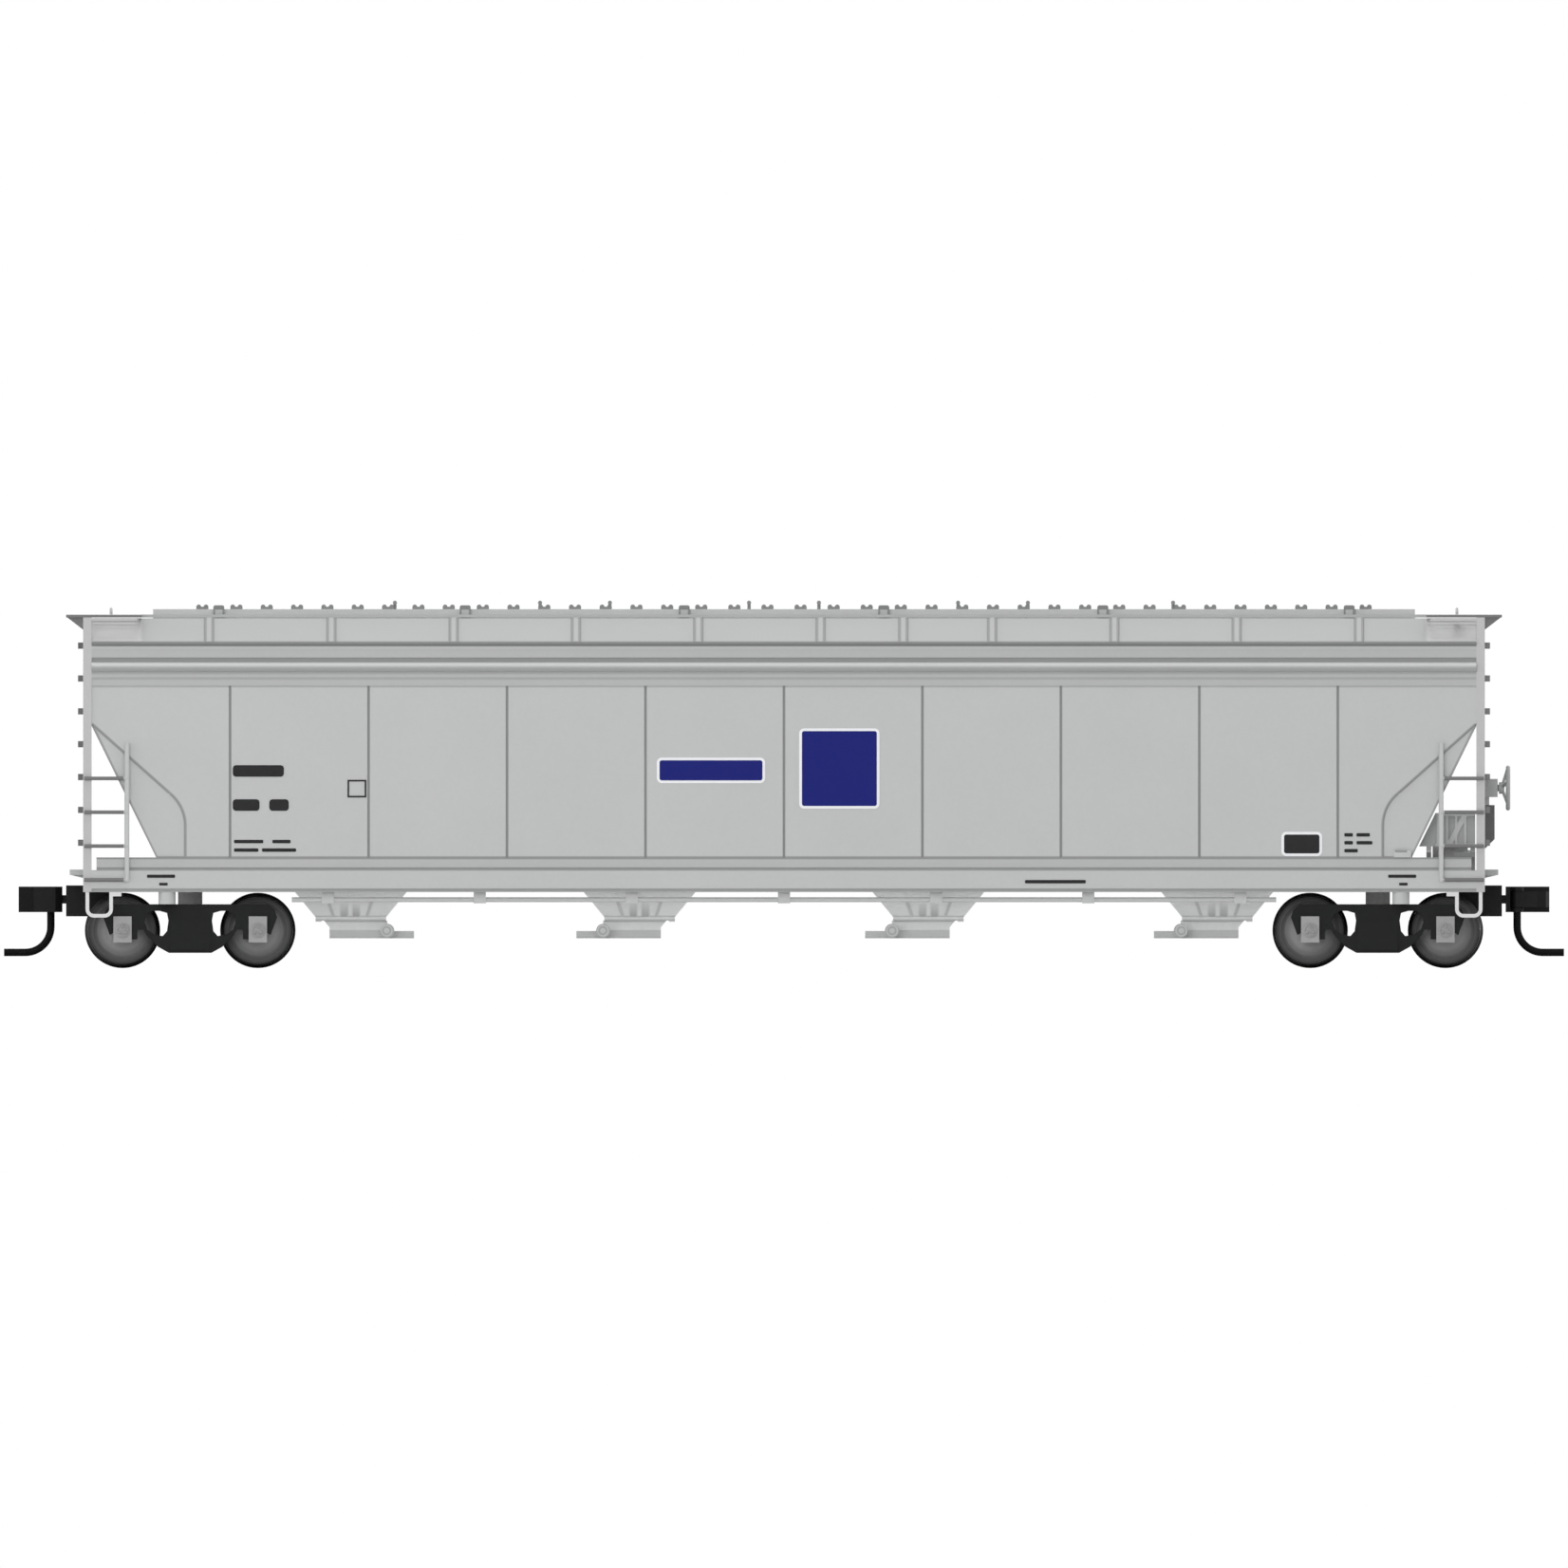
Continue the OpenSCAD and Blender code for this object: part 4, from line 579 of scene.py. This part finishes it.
def bay_painted_shade(tree):
    """Painted shade in the hollows at the feet of the bays beside their upright rib, along the leaning ribs
    and on a level line.
    """
    along, _, up = place(tree)
    aside = calc(tree, "ABSOLUTE", from_bay(tree, along))
    hollow_head, hollow_fade = 5.5 * MM, 0.8 / MM
    hollow = line_mask(tree, aside, centre=0.5, half=0.42)
    fall = calc(tree, "MULTIPLY", calc(tree, "SUBTRACT", hollow_head, up), hollow_fade, clamp=True)
    hollow = overlap(tree, hollow, fall, strength=0.5)
    rib_lean, rib_foot = 0.346, -0.103
    lean = calc(tree, "SUBTRACT", aside, calc(tree, "MULTIPLY", up, rib_lean))
    rib = line_mask(tree, lean, rib_foot, half=0.18)
    rib = overlap(tree, rib, band(tree, up, *BAY_RIB_UP), strength=0.3)
    return strongest(tree, [hollow, rib, *level_lines(tree, up, BAY_LINES)])


def gate_shade_and_rings(tree):
    """Painted shade on the lines of the gates' flanges and on their rails, and dark rings and a darker face
    on the ends of their shafts.
    """
    along, across, up = place(tree)
    past_first = calc(tree, "GREATER_THAN", along, -BAY_PITCH * MM)
    turn = calc(tree, "SUBTRACT", 1.0, calc(tree, "MULTIPLY", past_first, 2.0))
    run = calc(tree, "SUBTRACT", calc(tree, "MULTIPLY", from_bay(tree, along), turn), SHAFT_RUN * MM)
    rise = calc(tree, "SUBTRACT", up, SHAFT_UP * MM)
    radius = distance(tree, run, rise)
    shaft_end = band(tree, calc(tree, "ABSOLUTE", across), *SHAFT_END)
    masks = [overlap(tree, shaft_end, strength=0.3)]
    for ring_r, half, strength in SHAFT_RINGS:
        masks.append(times(tree, line_mask(tree, radius, ring_r, half), shaft_end, strength))
    rails = overlap(tree, band(tree, up, *RAIL_UP), strength=0.32)
    return strongest(tree, [*masks, rails, *level_lines(tree, up, GATE_LINES)])


def wheel_finish(index):
    """Wheel face painted light near its hub against the shade of the truck frames, darkening out to the
    blackened tread, partly as painted shade.
    """
    low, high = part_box(f"wheels_{index}")
    middle = (low + high) / 2
    material, tree, shader = new_material(f"wheel_metal_{index}")
    grain = use_group(tree, "moulded_grain", scale=2200.0, depth=0.12)
    radius = use_group(tree, "axle_radius", centre_x=middle.x, centre_z=middle.z).outputs[0]
    ramp = add_node(tree, "ShaderNodeValToRGB")
    hub, rim = Vector(colours().wheel), Vector(colours().tread)
    while len(ramp.color_ramp.elements) < len(WHEEL_STOPS):
        ramp.color_ramp.elements.new(0.5)
    for element, (spot, way) in zip(ramp.color_ramp.elements, WHEEL_STOPS):
        element.position = spot
        element.color = rgba(hub.lerp(rim, way))
    tree.links.new(calc(tree, "DIVIDE", radius, high.z - middle.z), ramp.inputs[0])
    finish_surface(tree, shader, ramp.outputs[0], grain, rough=0.5, bump=0.15)
    shader.inputs["Specular IOR Level"].default_value = 0.25
    return material


def wear(node_names, material):
    """Gives CAD nodes a finish."""
    for name in node_names:
        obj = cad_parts[name]
        obj.data.materials.clear()
        obj.data.materials.append(material)


def numbered(stem, count):
    return [f"{stem}_{i}" for i in range(1, count + 1)]


def paired(*stems):
    return [f"{stem}_{end}" for stem in stems for end in "ab"]


class HOPPER_OT_finishes(bpy.types.Operator):
    """Gives each moulded piece of the car its finish, many of them with painted light and shade"""

    bl_idname = "hopper.finishes"
    bl_label = "Finishes"

    def execute(self, context):
        make_groups()
        tint = colours()
        wear(["body_shell"], painted("body_paint", tint.body, shade_and_mark=side_painted_shade, light=bead_painted_highlight))
        wear(["roof"], painted("roof_paint", tint.body, shade_and_mark=roof_shade_and_latches, light=roof_painted_light))
        wear(
            ["end_sills", "air_reservoir", "control_valve", "brake_cylinder"],
            painted("plain_body_paint", tint.body, depth=0.07),
        )
        wear(
            ["underframe"],
            painted("underframe_paint", tint.body, depth=0.07, shade_and_mark=centre_plate_light, dark=tint.pale),
        )
        wear(["brake_stand"], painted("stand_paint", tint.body, depth=0.07, shade_and_mark=guard_mask, dark=tint.dark))
        wear(
            numbered("hatch_cover", 5),
            painted("cover_paint", toned(tint.body, 1.14), depth=0.07, shade_and_mark=cover_wash),
        )
        wear(["brake_wheel"], painted("brake_wheel_paint", toned(tint.detail, 0.86), depth=0.08))
        wear(["corner_posts"], painted("post_paint", tint.post, depth=0.06))
        wear(
            ["running_board_left", "running_board_right"],
            painted("board_plastic", toned(tint.detail, 0.92), rough=0.65, depth=0.1),
        )
        wear(["crossover_platforms"], painted("platform_plastic", tint.detail, rough=0.65, depth=0.1))
        wear(
            paired("end_walk"),
            painted("walk_plastic", tint.dark, rough=0.65, depth=0.1, shade_and_mark=hoop_mask, dark=tint.body),
        )
        # The side ladders are painted a little paler to make up for the shade on them.
        wear(
            ["side_ladders"],
            painted("ladder_plastic", toned(tint.detail, 1.1), depth=0.08, shade_and_mark=rung_painted_shade, dark=tint.dark),
        )
        # The end ladders are painted dark grey, which stands in for the shade on their rungs.
        wear(paired("end_ladder"), painted("rung_plastic", tint.dark, depth=0.1))
        wear(["equipment_bracket"], painted("panel_plastic", tint.detail, depth=0.08, shade_and_mark=panel_shade_and_tread))
        wear(numbered("hopper_bay", 4), painted("bay_plastic", tint.bay, depth=0.1, shade_and_mark=bay_painted_shade))
        wear(numbered("outlet_gate", 4), painted("gate_plastic", tint.gate, depth=0.1, shade_and_mark=gate_shade_and_rings))
        wear(["brake_pipe"], painted("pipe_plastic", toned(tint.gate, 0.76), depth=0.1))
        wear(["sill_steps"], painted("step_plastic", toned(tint.pale, 0.9), rough=0.55, depth=0.05))
        wear(
            paired("truck_frame"),
            painted("truck_plastic", tint.truck, rough=0.55, depth=0.25, gloss=0.15, scale=3200.0),
        )
        wear(
            paired("bearing_adapters"),
            painted("bearing_plastic", tint.bearing, depth=0.2, scale=BEARING_GRAIN),
        )
        wear(
            [*paired("coupler", "knuckle", "draft_box"), "draft_lids"],
            painted("coupler_plastic", tint.coupler, rough=0.5, depth=0.25, gloss=0.15, scale=3400.0),
        )
        wear(paired("trip_pin"), painted("black_wire", toned(tint.coupler, 0.6), rough=0.6, gloss=0.08))
        wear(
            [*numbered("axle", 4), "coupler_screws", "truck_screws", "weight"],
            metal("bare_steel", tint.steel),
        )
        wear(["centring_springs"], metal("spring_bronze", tint.bronze, rough=0.3))
        for index in range(1, 5):
            wear([f"wheels_{index}"], wheel_finish(index))
        return {"FINISHED"}


# Modelling helpers


def start_piece(primitive, **settings):
    """Adds a primitive with nothing else selected, and opens it in edit mode."""
    bpy.ops.object.select_all(action="DESELECT")
    primitive(**settings)
    obj = bpy.context.object
    bpy.ops.object.transform_apply(location=True, rotation=True, scale=True)
    bpy.ops.object.mode_set(mode="EDIT")
    return obj


def start_block(low, high):
    """Opens a block between two corners, given in millimetres."""
    low, high = Vector(low) * MM, Vector(high) * MM
    return start_piece(
        bpy.ops.mesh.primitive_cube_add, size=1, location=(low + high) / 2, scale=high - low
    )


def pick(obj, faces=None, edges=None):
    """Selects just the faces or edges that a test accepts."""
    mesh = bmesh.from_edit_mesh(obj.data)
    mesh.normal_update()
    bpy.ops.mesh.select_mode(type="FACE" if faces else "EDGE")
    bpy.ops.mesh.select_all(action="DESELECT")
    for part, test in ((mesh.faces, faces), (mesh.edges, edges)):
        if test is not None:
            for element in part:
                if test(element):
                    element.select_set(True)
    mesh.select_flush_mode()
    bmesh.update_edit_mesh(obj.data)


def facing(x, y, z):
    """Test for faces whose normal points this way."""
    way = Vector((x, y, z))
    return lambda face: face.normal.dot(way) > 0.9


def running(x, y, z):
    """Test for edges that run this way."""
    way = Vector((x, y, z))

    def test(edge):
        run = edge.verts[1].co - edge.verts[0].co
        return run.length > 0 and abs(run.normalized().dot(way)) > 0.99

    return test


def centred(face, x, z):
    """Whether a face's middle lies at a place on the side, given in millimetres."""
    return (face.calc_center_median().xz - Vector((x, z)) * MM).length < 0.05 * MM


def inset_faces(thickness, way):
    """Insets the picked faces and moves their middles."""
    bpy.ops.mesh.inset(thickness=thickness, depth=0)
    bpy.ops.transform.translate(value=way)


def push_faces(way):
    bpy.ops.mesh.extrude_region_move(TRANSFORM_OT_translate={"value": way})


def round_edges(offset, segments):
    bpy.ops.mesh.bevel(offset=offset, segments=segments, affect="EDGES")


def close_piece(obj, name):
    """Leaves edit mode with the normals outwards."""
    bpy.ops.mesh.select_all(action="SELECT")
    bpy.ops.mesh.normals_make_consistent(inside=False)
    bpy.ops.object.mode_set(mode="OBJECT")
    obj.name = name
    obj.data.name = name
    return obj


def copy_piece(obj, name, shift=(0, 0, 0), half_turn=False):
    """A copy with its own mesh, moved in millimetres and then turned half round where asked."""
    twin = obj.copy()
    twin.data = obj.data.copy()
    twin.name = name
    twin.data.name = name
    bpy.context.scene.collection.objects.link(twin)
    spot = Vector(shift) * MM
    if half_turn:
        spot.x, spot.y = -spot.x, -spot.y
        twin.rotation_euler = (0, 0, math.pi)
    twin.location = spot
    bpy.ops.object.select_all(action="DESELECT")
    twin.select_set(True)
    bpy.context.view_layer.objects.active = twin
    bpy.ops.object.transform_apply(location=True, rotation=True, scale=True)
    return twin


def join_pieces(pieces, name):
    bpy.ops.object.select_all(action="DESELECT")
    for piece in pieces:
        piece.select_set(True)
    bpy.context.view_layer.objects.active = pieces[0]
    bpy.ops.object.join()
    joined = bpy.context.object
    joined.name = name
    joined.data.name = name
    return joined


def smooth(obj, degrees=35):
    bpy.ops.object.select_all(action="DESELECT")
    obj.select_set(True)
    bpy.context.view_layer.objects.active = obj
    bpy.ops.object.shade_smooth_by_angle(angle=math.radians(degrees))


def settle(obj, body, material):
    """Material and body of a finished piece."""
    obj.data.materials.clear()
    obj.data.materials.append(material)
    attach(obj, body)


def drop(obj):
    bpy.data.objects.remove(obj, do_unlink=True)


class HOPPER_OT_joint_straps(bpy.types.Operator):
    """Straps over the joints between the hatch covers"""

    bl_idname = "hopper.joint_straps"
    bl_label = "Hatch joint straps"

    def execute(self, context):
        half = sizes().strap_w / 2 / MM
        side_y, low, high = 2.05, 29.14, 29.82
        lip, lip_drop, top_round = 0.16 * MM, 0.36 * MM, 0.16 * MM
        strap = start_block((-half, -side_y, low), (half, side_y, high))
        for side in (-1, 1):
            pick(strap, faces=facing(0, side, 0))
            push_faces((0, side * lip, 0))
        pick(strap, faces=lambda f: f.normal.z < -0.9 and abs(f.calc_center_median().y) > side_y * MM)
        push_faces((0, 0, -lip_drop))
        pick(strap, edges=lambda e: running(0, 1, 0)(e) and e.verts[0].co.z > (high - 0.01) * MM)
        round_edges(top_round, segments=3)
        close_piece(strap, "joint_strap")
        material = painted("strap_paint", colours().body, depth=0.1, shade_and_mark=strap_shade_and_tops)
        for index, x in enumerate((*(-x for x in reversed(STRAPS)), *STRAPS), start=1):
            twin = copy_piece(strap, f"joint_strap_{index}", (x, 0, 0))
            smooth(twin)
            settle(twin, "car_body", material)
        drop(strap)
        return {"FINISHED"}


class HOPPER_OT_sill_ledges(bpy.types.Operator):
    """Small ledges on the side sills beside the brake end's slope"""

    bl_idname = "hopper.sill_ledges"
    bl_label = "Sill ledges"

    def execute(self, context):
        low, high = (50.1, -9.98, SILL_TOP), (51.55, -9.8, 9.62)
        outer_y = (low[1] + high[1]) / 2
        ledge = start_block(low, high)
        pick(ledge, faces=facing(0, 0, 1))
        inset_faces(0.03 * MM, (0, 0, 0.06 * MM))
        pick(ledge, edges=lambda e: running(0, 0, 1)(e) and e.verts[0].co.y < outer_y * MM)
        round_edges(0.05 * MM, segments=2)
        close_piece(ledge, "sill_ledge_right")
        material = painted("ledge_paint", colours().body, depth=0.07, shade_and_mark=ledge_wash)
        twin = copy_piece(ledge, "sill_ledge_left")
        bpy.ops.object.mode_set(mode="EDIT")
        bpy.ops.mesh.select_all(action="SELECT")
        bpy.ops.transform.mirror(constraint_axis=(False, True, False), center_override=(0, 0, 0))
        close_piece(twin, "sill_ledge_left")
        for piece in (ledge, twin):
            smooth(piece)
            settle(piece, "car_body", material)
        return {"FINISHED"}


class HOPPER_OT_bearing_caps(bpy.types.Operator):
    """Round end caps with three bolts on the bearing adapters"""

    bl_idname = "hopper.bearing_caps"
    bl_label = "Bearing caps"

    def start_disc(self, sides, radius, thick, spot):
        """Opens a disc that faces out of the right side."""
        return start_piece(
            bpy.ops.mesh.primitive_cylinder_add,
            vertices=sides,
            radius=radius,
            depth=thick,
            location=spot,
            rotation=(math.pi / 2, 0, 0),
        )

    def model_cap(self, face_y):
        """A disc whose face steps up, down and up again towards its middle."""
        thick = 0.1 * MM
        cap = self.start_disc(32, sizes().cap_r, thick, (0, -face_y - thick / 2, 0))
        for inset, rise in ((0.16, 0.08), (0.1, -0.05), (0.08, 0.04)):
            pick(cap, faces=lambda f: f.normal.y < -0.9 and centred(f, 0, 0))
            inset_faces(inset * MM, (0, -rise * MM, 0))
        return close_piece(cap, "bearing_cap")

    def model_bolt(self, face_y):
        """The uppermost bolt, a hexagon with a chamfer."""
        out, up, chamfer = 0.2 * MM, 0.3 * MM, 0.03 * MM
        bolt = self.start_disc(6, sizes().bolt_r, 0.16 * MM, (0, -face_y - out, up))
        pick(bolt, faces=facing(0, -1, 0))
        inset_faces(chamfer, (0, -chamfer, 0))
        return close_piece(bolt, "cap_bolt")

    def execute(self, context):
        sunk = 0.12 * MM
        _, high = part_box("bearing_adapters_b")
        face_y = high.y - sunk
        cap = self.model_cap(face_y)
        bolt = self.model_bolt(face_y)
        bolts = [bolt]
        for turn in (1, 2):
            twin = copy_piece(bolt, "cap_bolt_next")
            bpy.ops.object.mode_set(mode="EDIT")
            bpy.ops.mesh.select_all(action="SELECT")
            bpy.ops.transform.rotate(
                value=math.radians(120 * turn), orient_axis="Y", center_override=(0, -face_y, 0)
            )
            bpy.ops.object.mode_set(mode="OBJECT")
            bolts.append(twin)
        cap = join_pieces([cap, *bolts], "bearing_cap")
        smooth(cap)
        material = painted("cap_paint", toned(colours().bearing, 0.9), depth=0.2, scale=BEARING_GRAIN)
        for index in range(1, 5):
            low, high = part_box(f"axle_{index}")
            middle = (low + high) / 2 / MM
            body = "truck_a" if index < 3 else "truck_b"
            for side in SIDES:
                flip = side == "left"
                shift = (-middle.x if flip else middle.x, 0, middle.z)
                twin = copy_piece(cap, f"bearing_cap_{index}_{side}", shift, half_turn=flip)
                settle(twin, body, material)
        drop(cap)
        return {"FINISHED"}


# Printed panels and bars on the right side in millimetres: middle along and up, width and height

BLUE_PANELS = [(-6.0, 16.25, 8.9, 2.1), (4.55, 16.4, 6.6, 6.6)]
BLACK_PANELS = [(42.55, 10.2, 3.35, 2.0)]
BLACK_BARS = [
    (-43.2, 16.2, 4.2, 0.95),
    (-44.2, 13.4, 2.2, 0.95),
    (-41.5, 13.4, 1.6, 0.95),
    (-44.0, 10.4, 2.4, 0.28),
    (-41.3, 10.4, 1.5, 0.28),
    (-44.2, 9.7, 2.0, 0.28),
    (-41.5, 9.7, 2.8, 0.28),
    (46.4, 10.95, 0.7, 0.28),
    (47.6, 10.95, 1.1, 0.28),
    (46.4, 10.3, 0.7, 0.28),
    (47.7, 10.3, 1.3, 0.28),
    (46.6, 9.65, 1.1, 0.28),
]
SILL_BARS = [
    (-51.2, 7.55, 2.3, 0.26),
    (-51.0, 6.9, 0.7, 0.22),
    (50.8, 7.55, 2.3, 0.26),
    (50.9, 6.9, 0.7, 0.22),
    (22.3, 7.1, 5.0, 0.28),
]
SQUARE_FRAME = (-35.1, 14.75, 1.55, 1.45)


class HOPPER_OT_prints(bpy.types.Operator):
    """Plain printed panels and bars on both sides"""

    bl_idname = "hopper.prints"
    bl_label = "Printed panels"

    def start_plate(self, face, spot):
        """Opens a thin plate that stands off a face of the side."""
        x, z, width, height = spot
        low = (x - width / 2, -face - sizes().print_t / MM, z - height / 2)
        return start_block(low, (x + width / 2, -face, z + height / 2))

    def model_panel(self, face, spot, edge, field):
        """A thin plate with rounded corners, an edge and a raised field."""
        corner, field_rise = 0.4 * MM, 0.3 * sizes().print_t
        plate = self.start_plate(face, spot)
        pick(plate, edges=running(0, 1, 0))
        round_edges(corner, segments=5)
        pick(plate, faces=facing(0, -1, 0))
        inset_faces(sizes().print_edge, (0, -field_rise, 0))
        plate.data.materials.append(edge)
        plate.data.materials.append(field)
        plate.active_material_index = 1
        bpy.ops.object.material_slot_assign()
        return close_piece(plate, "panel")

    def model_bar(self, face, spot):
        """A thin bar with rounded ends."""
        height = spot[3]
        bar = self.start_plate(face, spot)
        pick(bar, edges=running(0, 1, 0))
        round_edges(0.25 * height * MM, segments=2)
        return close_piece(bar, "bar")

    def model_frame(self, face, spot):
        """A square outline: a plate whose field is cut out."""
        x, z, _, _ = spot
        line = 0.14 * MM
        plate = self.start_plate(face, spot)
        for way in (-1, 1):
            pick(plate, faces=facing(0, way, 0))
            bpy.ops.mesh.inset(thickness=line, depth=0)
        pick(plate, faces=lambda f: abs(f.normal.y) > 0.9 and centred(f, x, z))
        bpy.ops.mesh.bridge_edge_loops()
        return close_piece(plate, "outline")

    def both(self, piece, name):
        """Puts a piece on the right side, and its copy turned half round on the left."""
        twin = copy_piece(piece, f"{name}_left", half_turn=True)
        piece.name = f"{name}_right"
        for obj in (piece, twin):
            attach(obj, "car_body")

    def execute(self, context):
        tint = colours()
        white = painted("print_white", tint.print_white, rough=0.5, depth=0.04)
        blue = painted("print_blue", tint.print_blue, rough=0.6, depth=0.08, gloss=0.12)
        black = painted("print_black", tint.print_black, rough=0.5, depth=0.2, gloss=0.2)
        panels = [self.model_panel(SKIN_FACE, spot, white, blue) for spot in BLUE_PANELS]
        self.both(join_pieces(panels, "blue_panels"), "blue_panels")
        panels = [self.model_panel(SKIN_FACE, spot, white, black) for spot in BLACK_PANELS]
        self.both(join_pieces(panels, "black_panel"), "black_panel")
        bars = [self.model_bar(SKIN_FACE, spot) for spot in BLACK_BARS]
        bars += [self.model_bar(WEB_FACE, spot) for spot in SILL_BARS]
        bars.append(self.model_frame(SKIN_FACE, SQUARE_FRAME))
        bars = join_pieces(bars, "print_bars")
        bars.data.materials.append(black)
        self.both(bars, "print_bars")
        return {"FINISHED"}


# The stage in metres. The floor turns white over FLOOR_FADE, starting FLOOR_NEAR away from a line that
# runs FLOOR_RUN to either end of the car.

FLOOR_SIZE = 8
FLOOR_RUN = 50 * MM
FLOOR_NEAR = 25 * MM
FLOOR_FADE = 105 * MM
CAMERA_BACK = 2.5
LIGHT_AIM = (0, 0, 0.015)

# Lights: name, place, size and power

LIGHTS = (
    ("front_low", (-0.1, -0.6, 0.1), 0.5, 1.75),
    ("back_low", (0.1, 0.6, 0.1), 0.5, 1.4),
    ("end_a", (-0.65, -0.15, 0.12), 0.4, 0.9),
    ("end_b", (0.65, 0.15, 0.12), 0.4, 0.9),
    ("top", (0, -0.1, 0.6), 0.5, 1.3),
)


class HOPPER_OT_stage(bpy.types.Operator):
    """Floor, white surround, soft lights and the camera"""

    bl_idname = "hopper.stage"
    bl_label = "Stage"

    def seen_ray(self, tree):
        """One for a ray that shows the surround, straight or in a gloss."""
        rays = add_node(tree, "ShaderNodeLightPath")
        kinds = ("Is Camera Ray", "Is Glossy Ray", "Is Transmission Ray")
        return strongest(tree, [rays.outputs[kind] for kind in kinds])

    def from_car(self, tree):
        """How far a place on the floor lies from the car, from zero near it to one."""
        along, across, _ = place(tree)
        past = calc(tree, "SUBTRACT", calc(tree, "ABSOLUTE", along), FLOOR_RUN)
        past = calc(tree, "MAXIMUM", past, 0.0)
        out = calc(tree, "SUBTRACT", distance(tree, past, across), FLOOR_NEAR)
        return calc(tree, "DIVIDE", out, FLOOR_FADE, clamp=True)

    def mix_shaders(self, tree, share, first, second, end):
        """Shows a mix of two shaders."""
        mix = add_node(tree, "ShaderNodeMixShader")
        tree.links.new(share, mix.inputs[0])
        tree.links.new(first.outputs[0], mix.inputs[1])
        tree.links.new(second.outputs[0], mix.inputs[2])
        tree.links.new(mix.outputs[0], tree.nodes[end].inputs[0])

    def make_floor(self):
        bpy.ops.object.select_all(action="DESELECT")
        bpy.ops.mesh.primitive_plane_add(size=FLOOR_SIZE)
        floor = bpy.context.object
        floor.name = "floor"
        material = painted("floor_paint", colours().floor, rough=0.9, depth=0.02, scale=300.0)
        floor.data.materials.append(material)
        tree = material.node_tree
        white = add_node(tree, "ShaderNodeEmission")
        share = times(tree, self.from_car(tree), self.seen_ray(tree))
        self.mix_shaders(tree, share, tree.nodes["Principled BSDF"], white, "Material Output")

    def make_world(self):
        world = bpy.data.worlds.new("surround")
        bpy.context.scene.world = world
        world.use_nodes = True
        tree = world.node_tree
        soft = tree.nodes["Background"]
        soft.inputs["Color"].default_value = (1, 1, 1, 1)
        soft.inputs["Strength"].default_value = 0.4
        plain = add_node(tree, "ShaderNodeBackground")
        plain.inputs["Color"].default_value = (1, 1, 1, 1)
        self.mix_shaders(tree, self.seen_ray(tree), soft, plain, "World Output")

    def make_light(self, name, spot, size, power):
        data = bpy.data.lights.new(name, "AREA")
        data.shape = "DISK"
        data.size = size
        data.energy = power
        light = bpy.data.objects.new(name, data)
        light.location = spot
        light.visible_camera = False
        way = Vector(LIGHT_AIM) - Vector(spot)
        light.rotation_euler = way.to_track_quat("-Z", "Y").to_euler()
        bpy.context.scene.collection.objects.link(light)

    def make_camera(self):
        data = bpy.data.cameras.new("photo_view")
        data.type = "ORTHO"
        data.ortho_scale = sizes().view_w
        data.clip_start = 0.1
        data.clip_end = 20
        camera = bpy.data.objects.new("photo_view", data)
        camera.location = (0, -CAMERA_BACK, sizes().view_z)
        camera.rotation_euler = (math.pi / 2, 0, 0)
        bpy.context.scene.collection.objects.link(camera)
        bpy.context.scene.camera = camera

    def execute(self, context):
        self.make_floor()
        self.make_world()
        for light in LIGHTS:
            self.make_light(*light)
        self.make_camera()
        context.scene.view_settings.view_transform = "Standard"
        return {"FINISHED"}


class HOPPER_PT_panel(bpy.types.Panel):
    """Lists the steps that dress the car"""

    bl_idname = "HOPPER_PT_panel"
    bl_label = "Hopper car"
    bl_space_type = "VIEW_3D"
    bl_region_type = "UI"
    bl_category = "Hopper car"

    def draw(self, context):
        column = self.layout.column()
        for step in STEPS:
            column.operator(step.bl_idname)
        for group in (context.scene.hopper_colours, context.scene.hopper_sizes):
            for name in group.__annotations__:
                column.prop(group, name)


STEPS = (
    HOPPER_OT_finishes,
    HOPPER_OT_joint_straps,
    HOPPER_OT_sill_ledges,
    HOPPER_OT_bearing_caps,
    HOPPER_OT_prints,
    HOPPER_OT_stage,
)
CLASSES = (HopperColours, HopperSizes, *STEPS, HOPPER_PT_panel)


def register():
    for cls in CLASSES:
        bpy.utils.register_class(cls)
    bpy.types.Scene.hopper_colours = bpy.props.PointerProperty(type=HopperColours)
    bpy.types.Scene.hopper_sizes = bpy.props.PointerProperty(type=HopperSizes)


def unregister():
    del bpy.types.Scene.hopper_sizes
    del bpy.types.Scene.hopper_colours
    for cls in reversed(CLASSES):
        bpy.utils.unregister_class(cls)


def main():
    register()
    bpy.ops.hopper.finishes()
    bpy.ops.hopper.joint_straps()
    bpy.ops.hopper.sill_ledges()
    bpy.ops.hopper.bearing_caps()
    bpy.ops.hopper.prints()
    bpy.ops.hopper.stage()


if __name__ == "__main__":
    main()
